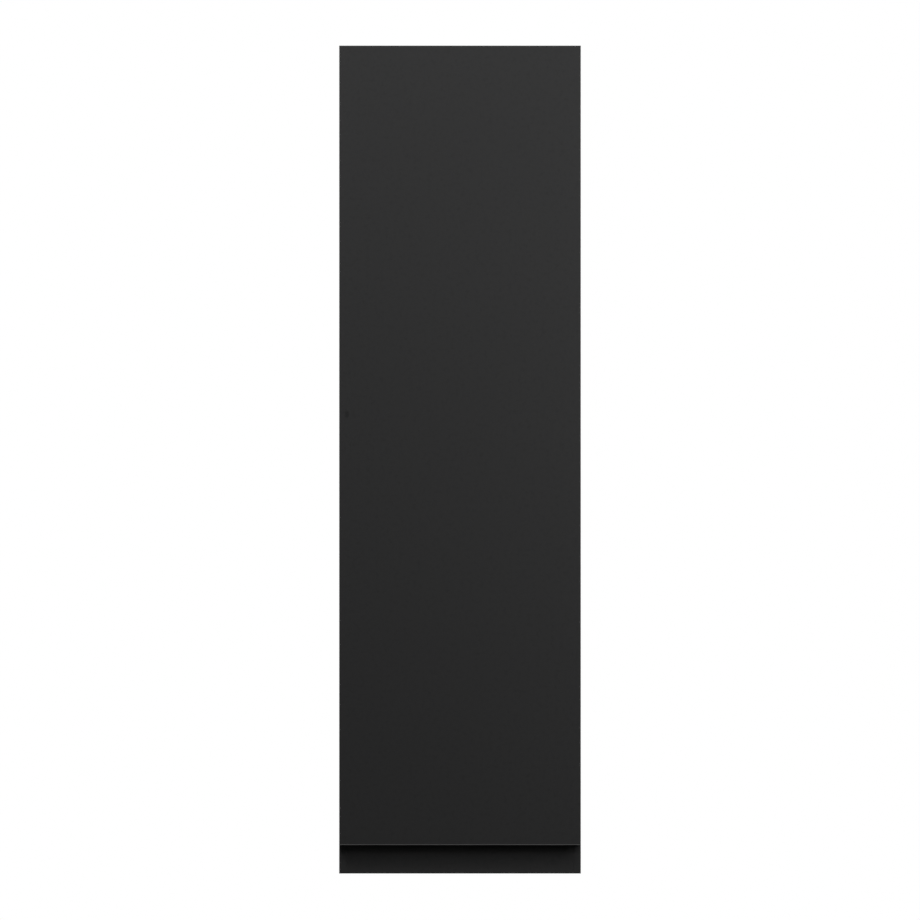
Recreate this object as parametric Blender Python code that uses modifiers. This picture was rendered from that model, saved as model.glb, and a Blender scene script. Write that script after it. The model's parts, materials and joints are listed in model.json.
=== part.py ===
"""Tall single-door wardrobe, built as an assembly of its separate pieces.

Metres, +Z up, front towards -Y. The origin is on the floor, in the middle of the whole outline.
"""
import math

import bmesh
import bpy
from mathutils import Matrix, Vector

# Outline of the whole wardrobe
WIDTH = 0.600
HEIGHT = 2.056
DEPTH = 0.590

# Board work
BOARD = 0.019
GAP = 0.0003                # clearance kept between pieces that touch
ARRIS = 0.0005              # small chamfer on every board edge
OVERCUT = 0.010             # how far a cutter runs past the face it cuts
DOOR_GAP = 0.002            # between the door's back and the carcass
DOOR_BOTTOM = 0.0705        # the recess under the door shows the plinth
DOOR_EDGE_RADIUS = 0.0015
PLINTH_HEIGHT = 0.0697
PLINTH_LIFT = 0.0005        # the sides carry the load, not the plinths
SHELF_SETBACK = 0.024
SHELF_PLAY = 0.0005
BACK_SHEET = 0.003
BACK_RECESS = 0.0155        # from the rear edges to the back sheet
GROOVE_DEPTH = 0.008
SHEET_PLAY = 0.001          # between a back sheet's edge and the groove's floor
BACK_JOINT_Z = 1.030
JOINER_WEB = 0.002
JOINER_LIP = 0.0012
JOINER_HEIGHT = 0.014
HOLE_PITCH = 0.032          # shelves and hinges both follow this row of holes
LOWER_SHELF_Z = 0.400
HAT_SHELF_Z = LOWER_SHELF_Z + 41 * HOLE_PITCH

# Planes worked out from the sizes above
SIDE_X = WIDTH / 2 - BOARD
DOOR_FRONT_Y = -DEPTH / 2
DOOR_BACK_Y = DOOR_FRONT_Y + BOARD
CARCASS_FRONT_Y = DOOR_BACK_Y + DOOR_GAP
REAR_Y = DEPTH / 2
BACK_REAR_Y = REAR_Y - BACK_RECESS
BACK_FRONT_Y = BACK_REAR_Y - BACK_SHEET
FLOOR_PANEL_Z = PLINTH_HEIGHT + GAP
SHELF_REAR_Y = BACK_FRONT_Y - 0.002
SHELF_FRONT_Y = CARCASS_FRONT_Y + SHELF_SETBACK

# Shelf pins and the rows of holes they fit
PIN_RADIUS = 0.0025
PIN_DEPTH = 0.010
PIN_HEAD_RADIUS = 0.0035
PIN_REACH = 0.009
PIN_CHAMFER = 0.0006
PIN_HOLE_DEPTH = 0.012
FRONT_ROW_Y = CARCASS_FRONT_Y + 0.037
PIN_ROWS_Y = (FRONT_ROW_Y, FRONT_ROW_Y + 15 * HOLE_PITCH)

# Hanging rail
RAIL_HEIGHT = 0.030
RAIL_THICKNESS = 0.015
RAIL_WALL = 0.0012
RAIL_Z = HAT_SHELF_Z - 0.060
SOCKET_WALL = 0.003
SOCKET_BASE = 0.002
SOCKET_REACH = 0.012
OVAL_STEPS = 8              # straight facets in each half-round end

# Hinges. Names with U are measured inwards from the outer right face, and names with V
# into the cabinet from the back of the door. Each plate sits midway between two row holes.
ROW_START_Z = LOWER_SHELF_Z - GAP - PIN_HEAD_RADIUS
HINGE_HEIGHTS = tuple(ROW_START_Z + (step + 0.5) * HOLE_PITCH for step in (-8, 11, 30, 48))
AXIS_U = 0.006
AXIS_V = -0.013
AXIS_X = WIDTH / 2 - AXIS_U
AXIS_Y = DOOR_BACK_Y + AXIS_V
CUP_RADIUS = 0.0175
CUP_WALL = 0.0012
CUP_DEPTH = 0.0125
CUP_FLOOR = 0.001
CUP_U = 0.0205
CUP_RIM = 0.0005
FLANGE_U = (0.010, 0.034)
FLANGE_HALF_LENGTH = 0.026
FLANGE_TOP = 0.0012
LINK_RADII = (0.0195, 0.0225)
LINK_ARC = (math.radians(5), math.radians(46))
LINK_LEVELS = (0.0013, 0.0043)
ARM_HALF_WIDTH = 0.008
ARM_WALL = 0.0015
ARM_TOP_U = BOARD + 0.012
ARM_REAR_V = 0.062
NOSE_RADII = (0.0180, 0.0230)
NOSE_TOP = math.radians(38)
PLATE_V = FRONT_ROW_Y - DOOR_BACK_Y
PLATE_BASE = 0.002
PLATE_WIDTH = 0.022
PLATE_LENGTH = 0.048
SEAT_LENGTH = 0.044

# Push latch
LATCH_Z = 1.143
LATCH_SIZE = (0.016, 0.076, 0.018)
LATCH_FRONT = 0.002         # the housing stands this far behind the carcass front
PLUNGER_RADIUS = 0.004
PLUNGER_LENGTH = 0.050
PLUNGER_EDGE = 0.0008
PLUNGER_PLAY = 0.002        # behind the plunger's tail, at the end of its bore
STRIKE_SIZE = (0.014, 0.001, 0.030)

# Levellers
LEVELLER_X = 0.245
LEVELLERS_Y = (-0.226, 0.228)
LEVELLER_FLANGE = 0.028      # radius of the plate that is screwed to the bottom panel
LEVELLER_FLANGE_SHEET = 0.003
LEVELLER_TOP_RADIUS = 0.016
LEVELLER_END_RADIUS = 0.014
LEVELLER_BOTTOM = 0.022
STEM_RADIUS = 0.005
STEM_DROP = 0.008           # the stem's end stays this far below the bottom panel
FOOT_RADIUS = 0.018
FOOT_NECK_Z = 0.012
FOOT_SHOULDER = (0.014, 0.009)
FOOT_RIM_Z = 0.005
FOOT_LIFT = 0.0005          # the sides carry the load until a foot is screwed down
KEY_HOLE_RADIUS = 0.006
CAP_RADIUS = 0.009
CAP_HEAD = 0.0018
CAP_EDGE = 0.001
CAP_PLUG_RADIUS = 0.0055
CAP_PLUG_LENGTH = 0.008

# Wall brackets
BRACKET_LEG = 0.024
BRACKET_SHEET = 0.002
BRACKET_LENGTH = 0.080
BRACKET_CLEARANCE = 0.0013  # behind the back sheet
BRACKET_Z = 1.965


def clear_scene():
    for item in list(bpy.data.objects):
        bpy.data.objects.remove(item, do_unlink=True)


def make_collection(name):
    collection = bpy.data.collections.new(name)
    bpy.context.scene.collection.children.link(collection)
    return collection


def make_material(name, color, roughness, metallic=0.0):
    material = bpy.data.materials.new(name)
    material.use_nodes = True
    shader = material.node_tree.nodes["Principled BSDF"]
    shader.inputs["Base Color"].default_value = (*color, 1.0)
    shader.inputs["Roughness"].default_value = roughness
    shader.inputs["Metallic"].default_value = metallic
    material.diffuse_color = (*color, 1.0)
    return material


def add_object(name, mesh, location, material=None, parent=None):
    """A mesh as a named object at a world position, under an optional unturned empty."""
    piece = bpy.data.objects.new(name, mesh)
    piece.location = Vector(location)
    if parent:
        piece.parent = parent
        piece.location -= parent.location
    if material:
        mesh.materials.append(material)
        PARTS.objects.link(piece)
    else:
        piece.display_type = "WIRE"
        piece.hide_render = True
        CUTTERS.objects.link(piece)
    return piece


def add_empty(name, location):
    empty = bpy.data.objects.new(name, None)
    empty.location = location
    empty.empty_display_size = 0.05
    PARTS.objects.link(empty)
    return empty


def mesh_from(bm, name):
    mesh = bpy.data.meshes.new(name)
    bm.to_mesh(mesh)
    bm.free()
    return mesh


def box_mesh(name, size):
    bm = bmesh.new()
    bmesh.ops.create_cube(bm, size=1.0, matrix=Matrix.Diagonal((*size, 1.0)))
    return mesh_from(bm, name)


def cylinders_mesh(name, places, radius, length, axis, segments):
    """One mesh with a cylinder centred on each place, all along the same axis."""
    turn = Vector((0, 0, 1)).rotation_difference(Vector(axis)).to_matrix().to_4x4()
    bm = bmesh.new()
    for place in places:
        bmesh.ops.create_cone(
            bm, cap_ends=True, segments=segments, radius1=radius, radius2=radius,
            depth=length, matrix=Matrix.Translation(place) @ turn)
    return mesh_from(bm, name)


def outline_mesh(name, points, thickness):
    """A flat outline in XY, filled and thickened along Z, as a welded mesh."""
    curve = bpy.data.curves.new(name + "_outline", "CURVE")
    curve.dimensions = "2D"
    curve.fill_mode = "BOTH"
    curve.extrude = thickness / 2
    spline = curve.splines.new("POLY")
    spline.points.add(len(points) - 1)
    for point, (x, y) in zip(spline.points, points):
        point.co = (x, y, 0.0, 1.0)
    spline.use_cyclic_u = True
    holder = bpy.data.objects.new(name + "_outline", curve)
    bpy.context.scene.collection.objects.link(holder)
    bpy.context.view_layer.update()
    evaluated = holder.evaluated_get(bpy.context.evaluated_depsgraph_get())
    flat = bpy.data.meshes.new_from_object(evaluated)
    bpy.data.objects.remove(holder, do_unlink=True)
    bm = bmesh.new()
    bm.from_mesh(flat)
    bpy.data.meshes.remove(flat)
    bmesh.ops.remove_doubles(bm, verts=bm.verts, dist=1e-6)
    bmesh.ops.recalc_face_normals(bm, faces=bm.faces)
    return mesh_from(bm, name)


def profile_mesh(name, points, closed=False):
    """The profile of a turned piece: (radius, height) points from top to bottom outside."""
    bm = bmesh.new()
    corners = [bm.verts.new((radius, 0.0, height)) for radius, height in points]
    for start, end in zip(corners, corners[1:] + corners[:1] if closed else corners[1:]):
        bm.edges.new((start, end))
    return mesh_from(bm, name)


def turn_profile(piece, segments):
    screw = piece.modifiers.new("turned", "SCREW")
    screw.steps = segments
    screw.render_steps = segments
    screw.use_merge_vertices = True
    screw.merge_threshold = 0.00001


def bevel(piece, width, segments=1):
    edges = piece.modifiers.new("edges", "BEVEL")
    edges.width = width
    edges.segments = segments
    edges.limit_method = "ANGLE"


def combine(piece, other, operation):
    join = piece.modifiers.new(other.name, "BOOLEAN")
    join.object = other
    join.operation = operation
    join.solver = "EXACT"


def board(name, low, high, material, parent=None):
    low, high = Vector(low), Vector(high)
    mesh = box_mesh(name, high - low)
    piece = add_object(name, mesh, (low + high) / 2, material, parent)
    bevel(piece, ARRIS)
    return piece


def drill(piece, name, places, radius, length, axis, segments=8):
    """Cut a round hole centred on each world place."""
    combine(piece, add_object(name, cylinders_mesh(name, places, radius, length, axis, segments),
                              (0, 0, 0)), "DIFFERENCE")


def slot_box(piece, name, low, high):
    low, high = Vector(low), Vector(high)
    combine(piece, add_object(name, box_mesh(name, high - low), (low + high) / 2), "DIFFERENCE")


def pin_hole_places(sign):
    """Three holes for each shelf pin, so a shelf can go up or down one step."""
    places = []
    for shelf_z in (LOWER_SHELF_Z, HAT_SHELF_Z):
        for y in PIN_ROWS_Y:
            for step in (-1, 0, 1):
                z = shelf_z - GAP - PIN_HEAD_RADIUS + step * HOLE_PITCH
                places.append((sign * SIDE_X, y, z))
    return places


def make_sides():
    for name, sign in (("side_left", -1), ("side_right", 1)):
        inner, outer = sorted((sign * SIDE_X, sign * WIDTH / 2))
        side = board(name, (inner, CARCASS_FRONT_Y, 0), (outer, REAR_Y, HEIGHT), LAMINATE)
        deepest = sign * (SIDE_X + GROOVE_DEPTH)
        low, high = sorted((sign * (SIDE_X - OVERCUT), deepest))
        slot_box(side, name + "_groove", (low, BACK_FRONT_Y - GAP, -OVERCUT),
                 (high, BACK_REAR_Y + GAP, HEIGHT - BOARD / 2))
        drill(side, name + "_holes", pin_hole_places(sign), PIN_RADIUS + GAP,
              2 * PIN_HOLE_DEPTH, (1, 0, 0))


def make_top_and_bottom():
    reach = SIDE_X - GAP
    top = board("top_panel", (-reach, CARCASS_FRONT_Y, HEIGHT - BOARD), (reach, REAR_Y, HEIGHT),
                LAMINATE)
    slot_box(top, "top_groove",
             (-reach - OVERCUT, BACK_FRONT_Y - GAP, HEIGHT - BOARD - OVERCUT),
             (reach + OVERCUT, BACK_REAR_Y + GAP, HEIGHT - BOARD + GROOVE_DEPTH))
    bottom = board("bottom_panel", (-reach, CARCASS_FRONT_Y, FLOOR_PANEL_Z),
                   (reach, BACK_FRONT_Y - GAP, FLOOR_PANEL_Z + BOARD), LAMINATE)
    places = [(x, y, FLOOR_PANEL_Z) for x in (-LEVELLER_X, LEVELLER_X) for y in LEVELLERS_Y]
    drill(bottom, "key_holes", places, KEY_HOLE_RADIUS, 4 * BOARD, (0, 0, 1), 16)


def make_plinths():
    reach = SIDE_X - GAP
    board("plinth_front", (-reach, CARCASS_FRONT_Y, PLINTH_LIFT),
          (reach, CARCASS_FRONT_Y + BOARD, PLINTH_HEIGHT), LAMINATE)
    board("plinth_rear", (-reach, BACK_FRONT_Y - GAP - BOARD, PLINTH_LIFT),
          (reach, BACK_FRONT_Y - GAP, PLINTH_HEIGHT), LAMINATE)


def make_back():
    reach = SIDE_X + GROOVE_DEPTH - SHEET_PLAY
    half_web = JOINER_WEB / 2
    top = HEIGHT - BOARD + GROOVE_DEPTH - SHEET_PLAY
    for name, low, high in (("back_lower", FLOOR_PANEL_Z, BACK_JOINT_Z - half_web - GAP),
                            ("back_upper", BACK_JOINT_Z + half_web + GAP, top)):
        size = (2 * reach, BACK_SHEET, high - low)
        centre = (0, (BACK_FRONT_Y + BACK_REAR_Y) / 2, (low + high) / 2)
        add_object(name, box_mesh(name, size), centre, SHEET)
    # H-shaped strip that both sheets slide into
    inside = BACK_SHEET / 2 + GAP
    outside = inside + JOINER_LIP
    half_height = JOINER_HEIGHT / 2
    corners = [(-outside, -half_height), (-inside, -half_height), (-inside, -half_web),
               (inside, -half_web), (inside, -half_height), (outside, -half_height)]
    outline = corners + [(-x, -y) for x, y in corners]
    length = 2 * (SIDE_X - GAP)
    mesh = outline_mesh("back_joiner", outline, length)
    joiner = add_object("back_joiner", mesh, (0, (BACK_FRONT_Y + BACK_REAR_Y) / 2, BACK_JOINT_Z),
                        BLACK_PLASTIC)
    joiner.rotation_euler = (math.radians(90), 0, math.radians(90))


def make_shelves():
    reach = SIDE_X - SHELF_PLAY
    for name, z in (("lower_shelf", LOWER_SHELF_Z), ("hat_shelf", HAT_SHELF_Z)):
        board(name, (-reach, SHELF_FRONT_Y, z), (reach, SHELF_REAR_Y, z + BOARD), LAMINATE)
        for side, sign in (("left", -1), ("right", 1)):
            for place, y in zip(("front", "rear"), PIN_ROWS_Y):
                make_pin(f"{name}_pin_{side}_{place}", sign, y, z)


def make_pin(name, sign, y, shelf_z):
    """A turned peg: its thin end in the side, its head under the shelf."""
    profile = [(0.0, PIN_REACH), (PIN_HEAD_RADIUS - PIN_CHAMFER, PIN_REACH),
               (PIN_HEAD_RADIUS, PIN_REACH - PIN_CHAMFER), (PIN_HEAD_RADIUS, GAP),
               (PIN_RADIUS, GAP), (PIN_RADIUS, -PIN_DEPTH), (0.0, -PIN_DEPTH)]
    z = shelf_z - GAP - PIN_HEAD_RADIUS
    pin = add_object(name, profile_mesh(name, profile), (sign * SIDE_X, y, z), BRIGHT_STEEL)
    pin.rotation_euler = (0, math.radians(-90 * sign), 0)
    turn_profile(pin, 12)


def oval_mesh(name, height, thickness, length):
    """A bar with half-round edges, lying along X."""
    radius = thickness / 2
    centre = height / 2 - radius
    outline = []
    for step in range(2 * (OVAL_STEPS + 1)):
        end, turn = divmod(step, OVAL_STEPS + 1)
        angle = math.pi * (end + turn / OVAL_STEPS)
        offset = -centre if end else centre
        outline.append((radius * math.cos(angle), offset + radius * math.sin(angle)))
    mesh = outline_mesh(name, outline, length)
    lay_down = Matrix.Rotation(math.radians(90), 4, "X")
    mesh.transform(Matrix.Rotation(math.radians(90), 4, "Z") @ lay_down)
    return mesh


def make_rail():
    end = SIDE_X - GAP - SOCKET_BASE - GAP
    tube = oval_mesh("hanging_rail", RAIL_HEIGHT, RAIL_THICKNESS, 2 * end)
    rail = add_object("hanging_rail", tube, (0, 0, RAIL_Z), BRIGHT_STEEL)
    bore = oval_mesh("rail_bore", RAIL_HEIGHT - 2 * RAIL_WALL, RAIL_THICKNESS - 2 * RAIL_WALL,
                     2 * (end + OVERCUT))
    combine(rail, add_object("rail_bore", bore, (0, 0, RAIL_Z)), "DIFFERENCE")
    for name, sign in (("rail_socket_left", -1), ("rail_socket_right", 1)):
        rim = 2 * (SOCKET_WALL + GAP)
        mesh = oval_mesh(name, RAIL_HEIGHT + rim, RAIL_THICKNESS + rim, SOCKET_REACH)
        x = sign * (SIDE_X - GAP - SOCKET_REACH / 2)
        socket = add_object(name, mesh, (x, 0, RAIL_Z), BRIGHT_STEEL)
        pocket = oval_mesh(name + "_pocket", RAIL_HEIGHT + 2 * GAP, RAIL_THICKNESS + 2 * GAP,
                           SOCKET_REACH)
        combine(socket, add_object(name + "_pocket", pocket, (x - sign * SOCKET_BASE, 0, RAIL_Z)),
                "DIFFERENCE")


def make_door():
    low = Vector((-WIDTH / 2, DOOR_FRONT_Y, DOOR_BOTTOM))
    high = Vector((WIDTH / 2, DOOR_BACK_Y, HEIGHT))
    door = add_object("door_panel", box_mesh("door_panel", high - low), (low + high) / 2,
                      DOOR_FINISH, DOOR_AXIS)
    bevel(door, DOOR_EDGE_RADIUS, 3)
    places = [(WIDTH / 2 - CUP_U, DOOR_BACK_Y, z) for z in HINGE_HEIGHTS]
    drill(door, "cup_bores", places, CUP_RADIUS + GAP, 2 * (CUP_DEPTH + GAP), (0, 1, 0), 32)


def hinge_point(u, v):
    """World X and Y of a point given from the door's hinge-side back edge."""
    return WIDTH / 2 - u, DOOR_BACK_Y + v


def make_cup(name, z):
    x, y = hinge_point(CUP_U, 0)
    length = CUP_DEPTH + CUP_RIM
    centre = Vector((x, y + (CUP_RIM - CUP_DEPTH) / 2, z))
    mesh = cylinders_mesh(name, [(0, 0, 0)], CUP_RADIUS, length, (0, 1, 0), 32)
    cup = add_object(name, mesh, centre, NICKEL, DOOR_AXIS)
    flange_x = WIDTH / 2 - sum(FLANGE_U) / 2
    flange_size = (FLANGE_U[1] - FLANGE_U[0], FLANGE_TOP - GAP, 2 * FLANGE_HALF_LENGTH)
    flange = add_object(name + "_flange", box_mesh(name + "_flange", flange_size),
                        (flange_x, y + (FLANGE_TOP + GAP) / 2, z))
    combine(cup, flange, "UNION")
    hollow = cylinders_mesh(name + "_hollow", [(0, CUP_DEPTH, 0)], CUP_RADIUS - CUP_WALL,
                            2 * CUP_DEPTH, (0, 1, 0), 32)
    floor_y = y - CUP_DEPTH + CUP_FLOOR
    combine(cup, add_object(name + "_hollow", hollow, (x, floor_y, z)), "DIFFERENCE")


def arc_points(radius, start, end, steps):
    """Points on an arc about the door's axis, as offsets from it."""
    points = []
    for step in range(steps + 1):
        angle = start + (end - start) * step / steps
        points.append((-radius * math.cos(angle), radius * math.sin(angle)))
    return points


def make_link(name, z, level, axis_empty):
    """A curved bar that slides round the door's axis between the arm and the cup."""
    inner, outer = LINK_RADII
    start, end = LINK_ARC
    outline = arc_points(outer, start, end, 8) + arc_points(inner, end, start, 8)
    thickness = LINK_LEVELS[1] - LINK_LEVELS[0]
    height = z + level * sum(LINK_LEVELS) / 2
    add_object(name, outline_mesh(name, outline, thickness), (AXIS_X, AXIS_Y, height), NICKEL,
               axis_empty)


def make_arm(name, z):
    """The channel-shaped arm: two cheeks and a web, with a nose that reaches into the cup."""
    low_radius, high_radius = NOSE_RADII
    low_end, high_end = LINK_ARC
    nose = (arc_points(high_radius, NOSE_TOP, low_end, 6)
            + arc_points(low_radius, low_end, high_end, 6))
    outline = [(x + AXIS_X, y + AXIS_Y) for x, y in nose]
    heel_u = BOARD + GAP + PLATE_BASE + GAP
    corners = [(BOARD + 0.0008, 0.004), (heel_u, 0.012), (heel_u, ARM_REAR_V),
               (ARM_TOP_U, ARM_REAR_V), (ARM_TOP_U, 0.006)]
    outline += [hinge_point(u, v) for u, v in corners]
    arm = add_object(name, outline_mesh(name, outline, 2 * ARM_HALF_WIDTH), (0, 0, z), NICKEL)
    # the channel is open towards the side, and leaves a web on the arm's inner face
    channel_depth = 2 * (ARM_TOP_U - BOARD)
    x, y = hinge_point(ARM_TOP_U - ARM_WALL - channel_depth / 2, ARM_REAR_V / 2)
    size = (channel_depth, 2 * ARM_REAR_V, 2 * (ARM_HALF_WIDTH - ARM_WALL))
    channel = add_object(name + "_channel", box_mesh(name + "_channel", size), (x, y, z))
    combine(arm, channel, "DIFFERENCE")


def make_plate(name, z):
    """The mounting plate on the side, with the raised seat that the arm sits over."""
    base_low = BOARD + GAP
    x, y = hinge_point(base_low + PLATE_BASE / 2, PLATE_V)
    mesh = box_mesh(name, (PLATE_BASE, PLATE_WIDTH, PLATE_LENGTH))
    plate = add_object(name, mesh, (x, y, z), NICKEL)
    seat_top = ARM_TOP_U - ARM_WALL - GAP
    seat_width = 2 * (ARM_HALF_WIDTH - ARM_WALL - GAP)
    seat_size = (seat_top - base_low, SEAT_LENGTH, seat_width)
    seat_x, seat_y = hinge_point((seat_top + base_low) / 2, PLATE_V)
    seat = add_object(name + "_seat", box_mesh(name + "_seat", seat_size), (seat_x, seat_y, z))
    combine(plate, seat, "UNION")


def make_hinges():
    for number, z in enumerate(HINGE_HEIGHTS, 1):
        make_plate(f"hinge_plate_{number}", z)
        make_arm(f"hinge_arm_{number}", z)
        make_cup(f"hinge_cup_{number}", z)
        make_link(f"hinge_outer_link_{number}", z, 1, OUTER_LINK_AXIS)
        make_link(f"hinge_inner_link_{number}", z, -1, INNER_LINK_AXIS)


def make_latch():
    width, length, _ = LATCH_SIZE
    front = CARCASS_FRONT_Y + LATCH_FRONT
    x = -SIDE_X + GAP + width / 2
    housing = add_object("latch_housing", box_mesh("latch_housing", LATCH_SIZE),
                         (x, front + length / 2, LATCH_Z), GREY_PLASTIC)
    bevel(housing, 0.002, 2)
    strike_y = DOOR_BACK_Y + GAP + STRIKE_SIZE[1] / 2
    tip = strike_y + STRIKE_SIZE[1] / 2 + GAP
    bore_start = front - OVERCUT
    bore_end = tip + PLUNGER_LENGTH + PLUNGER_PLAY
    drill(housing, "latch_bore", [(x, (bore_start + bore_end) / 2, LATCH_Z)],
          PLUNGER_RADIUS + GAP, bore_end - bore_start, (0, 1, 0), 16)
    mesh = cylinders_mesh("latch_plunger", [(0, PLUNGER_LENGTH / 2, 0)], PLUNGER_RADIUS,
                          PLUNGER_LENGTH, (0, 1, 0), 16)
    plunger = add_object("latch_plunger", mesh, (x, tip, LATCH_Z), BLACK_PLASTIC)
    bevel(plunger, PLUNGER_EDGE, 2)
    add_object("latch_strike", box_mesh("latch_strike", STRIKE_SIZE), (x, strike_y, LATCH_Z),
               BRIGHT_STEEL, DOOR_AXIS)


def make_levellers():
    corners = [(x, y) for x in (-LEVELLER_X, LEVELLER_X) for y in LEVELLERS_Y]
    for number, (x, y) in enumerate(corners, 1):
        make_leveller_housing(f"leveller_housing_{number}", x, y)
        make_leveller_foot(f"leveller_foot_{number}", x, y)
        make_leveller_cap(f"leveller_cap_{number}", x, y)


def make_leveller_housing(name, x, y):
    """A ring with a flange at its top. Its profile is closed, so the bore gets a wall."""
    bore = STEM_RADIUS + GAP
    under_flange = PLINTH_HEIGHT - LEVELLER_FLANGE_SHEET
    profile = [(bore, PLINTH_HEIGHT), (LEVELLER_FLANGE, PLINTH_HEIGHT),
               (LEVELLER_FLANGE, under_flange), (LEVELLER_TOP_RADIUS, under_flange),
               (LEVELLER_END_RADIUS, LEVELLER_BOTTOM), (bore, LEVELLER_BOTTOM)]
    housing = add_object(name, profile_mesh(name, profile, closed=True), (x, y, 0), BLACK_PLASTIC)
    turn_profile(housing, 24)


def make_leveller_foot(name, x, y):
    stem_top = PLINTH_HEIGHT - STEM_DROP
    profile = [(0.0, stem_top), (STEM_RADIUS, stem_top), (STEM_RADIUS, FOOT_NECK_Z),
               FOOT_SHOULDER, (FOOT_RADIUS, FOOT_RIM_Z), (FOOT_RADIUS, FOOT_LIFT),
               (0.0, FOOT_LIFT)]
    foot = add_object(name, profile_mesh(name, profile), (x, y, 0), BLACK_PLASTIC)
    turn_profile(foot, 24)


def make_leveller_cap(name, x, y):
    """The cap over the hole that a key goes through to turn the foot."""
    surface = FLOOR_PANEL_Z + BOARD
    top = surface + CAP_HEAD
    profile = [(0.0, top), (CAP_RADIUS - CAP_EDGE, top), (CAP_RADIUS, top - CAP_EDGE),
               (CAP_RADIUS, surface + GAP), (CAP_PLUG_RADIUS, surface + GAP),
               (CAP_PLUG_RADIUS, surface - CAP_PLUG_LENGTH), (0.0, surface - CAP_PLUG_LENGTH)]
    cap = add_object(name, profile_mesh(name, profile), (x, y, 0), GREY_PLASTIC)
    turn_profile(cap, 24)


def make_wall_brackets():
    for name, sign in (("wall_bracket_left", -1), ("wall_bracket_right", 1)):
        corner_x = sign * (SIDE_X - GAP)
        inner_x = corner_x - sign * BRACKET_SHEET
        reach_x = corner_x - sign * BRACKET_LEG
        front = BACK_REAR_Y + BRACKET_CLEARANCE
        rear = REAR_Y
        outline = [(corner_x, front), (corner_x, rear), (reach_x, rear),
                   (reach_x, rear - BRACKET_SHEET), (inner_x, rear - BRACKET_SHEET),
                   (inner_x, front)]
        mesh = outline_mesh(name, outline, BRACKET_LENGTH)
        add_object(name, mesh, (0, 0, BRACKET_Z), BRIGHT_STEEL)


def shade_round_pieces():
    round_words = ("pin", "cup", "leveller", "rail", "plunger", "link")
    for piece in PARTS.objects:
        if piece.type == "MESH" and any(word in piece.name for word in round_words):
            for face in piece.data.polygons:
                face.use_smooth = True


clear_scene()
PARTS = make_collection("wardrobe")
CUTTERS = make_collection("wardrobe_cutters")

DOOR_FINISH = make_material("charcoal_door", (0.033, 0.033, 0.034), 0.62)
LAMINATE = make_material("graphite_board", (0.085, 0.085, 0.088), 0.60)
SHEET = make_material("grey_hardboard", (0.120, 0.118, 0.115), 0.75)
NICKEL = make_material("nickel_plated_steel", (0.56, 0.55, 0.53), 0.30, 1.0)
BRIGHT_STEEL = make_material("bright_steel", (0.60, 0.60, 0.60), 0.35, 1.0)
BLACK_PLASTIC = make_material("black_plastic", (0.020, 0.020, 0.020), 0.50)
GREY_PLASTIC = make_material("grey_plastic", (0.110, 0.110, 0.115), 0.48)

DOOR_AXIS = add_empty("door_axis", (AXIS_X, AXIS_Y, 0))
OUTER_LINK_AXIS = add_empty("outer_link_axis", (AXIS_X, AXIS_Y, 0))
INNER_LINK_AXIS = add_empty("inner_link_axis", (AXIS_X, AXIS_Y, 0))

make_sides()
make_top_and_bottom()
make_plinths()
make_back()
make_shelves()
make_rail()
make_door()
make_hinges()
make_latch()
make_levellers()
make_wall_brackets()
shade_round_pieces()
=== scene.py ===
import json
import math

import bmesh
import bpy
from mathutils import Matrix, Vector


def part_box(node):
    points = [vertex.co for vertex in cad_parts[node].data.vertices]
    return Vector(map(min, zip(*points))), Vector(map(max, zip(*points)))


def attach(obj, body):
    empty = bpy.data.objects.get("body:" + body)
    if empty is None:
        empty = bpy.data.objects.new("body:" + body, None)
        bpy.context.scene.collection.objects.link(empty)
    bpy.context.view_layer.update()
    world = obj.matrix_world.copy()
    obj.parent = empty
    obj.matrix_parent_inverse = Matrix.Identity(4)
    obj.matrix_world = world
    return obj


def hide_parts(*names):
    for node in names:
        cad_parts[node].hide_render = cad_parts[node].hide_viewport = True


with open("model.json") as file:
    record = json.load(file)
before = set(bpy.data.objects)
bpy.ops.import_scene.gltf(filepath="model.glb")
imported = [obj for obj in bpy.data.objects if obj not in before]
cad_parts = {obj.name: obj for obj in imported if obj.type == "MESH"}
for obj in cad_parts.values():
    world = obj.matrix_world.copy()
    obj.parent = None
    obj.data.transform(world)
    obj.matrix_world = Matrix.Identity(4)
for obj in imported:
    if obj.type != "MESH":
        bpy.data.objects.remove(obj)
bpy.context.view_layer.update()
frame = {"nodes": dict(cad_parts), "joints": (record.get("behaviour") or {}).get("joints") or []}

print("frame loaded:", len(frame["nodes"]), "nodes")

xWay = Vector((1, 0, 0))
yWay = Vector((0, 1, 0))
zWay = Vector((0, 0, 1))
hairline = 0.00002          # keeps a fitting just clear of the face it sits on


# Mesh tools

def turnTo(direction):
    return zWay.rotation_difference(Vector(direction)).to_matrix().to_4x4()


def addBlock(bm, low, high):
    low = Vector(low)
    high = Vector(high)
    place = Matrix.Translation((low + high) / 2) @ Matrix.Diagonal((*(high - low), 1.0))
    return bmesh.ops.create_cube(bm, size=1.0, matrix=place)["verts"]


def addRod(bm, centre, direction, radius, length, segments=32, endRadius=None):
    place = Matrix.Translation(centre) @ turnTo(direction)
    top = radius if endRadius is None else endRadius
    made = bmesh.ops.create_cone(bm, cap_ends=True, segments=segments, radius1=radius,
                                 radius2=top, depth=length, matrix=place)
    return made["verts"]


def addTurned(bm, profile, centre, direction, steps=48, closed=False):
    # profile holds (radius, distance along the axis) points
    direction = Vector(direction).normalized()
    place = Matrix.Translation(centre) @ turnTo(direction)
    verts = [bm.verts.new(place @ Vector((radius, 0, along))) for radius, along in profile]
    pairs = list(zip(verts, verts[1:]))
    if closed:
        pairs.append((verts[-1], verts[0]))
    edges = [bm.edges.new(pair) for pair in pairs]
    bmesh.ops.spin(bm, geom=verts + edges, cent=centre, axis=direction, angle=2 * math.pi,
                   steps=steps, use_merge=True)


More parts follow.
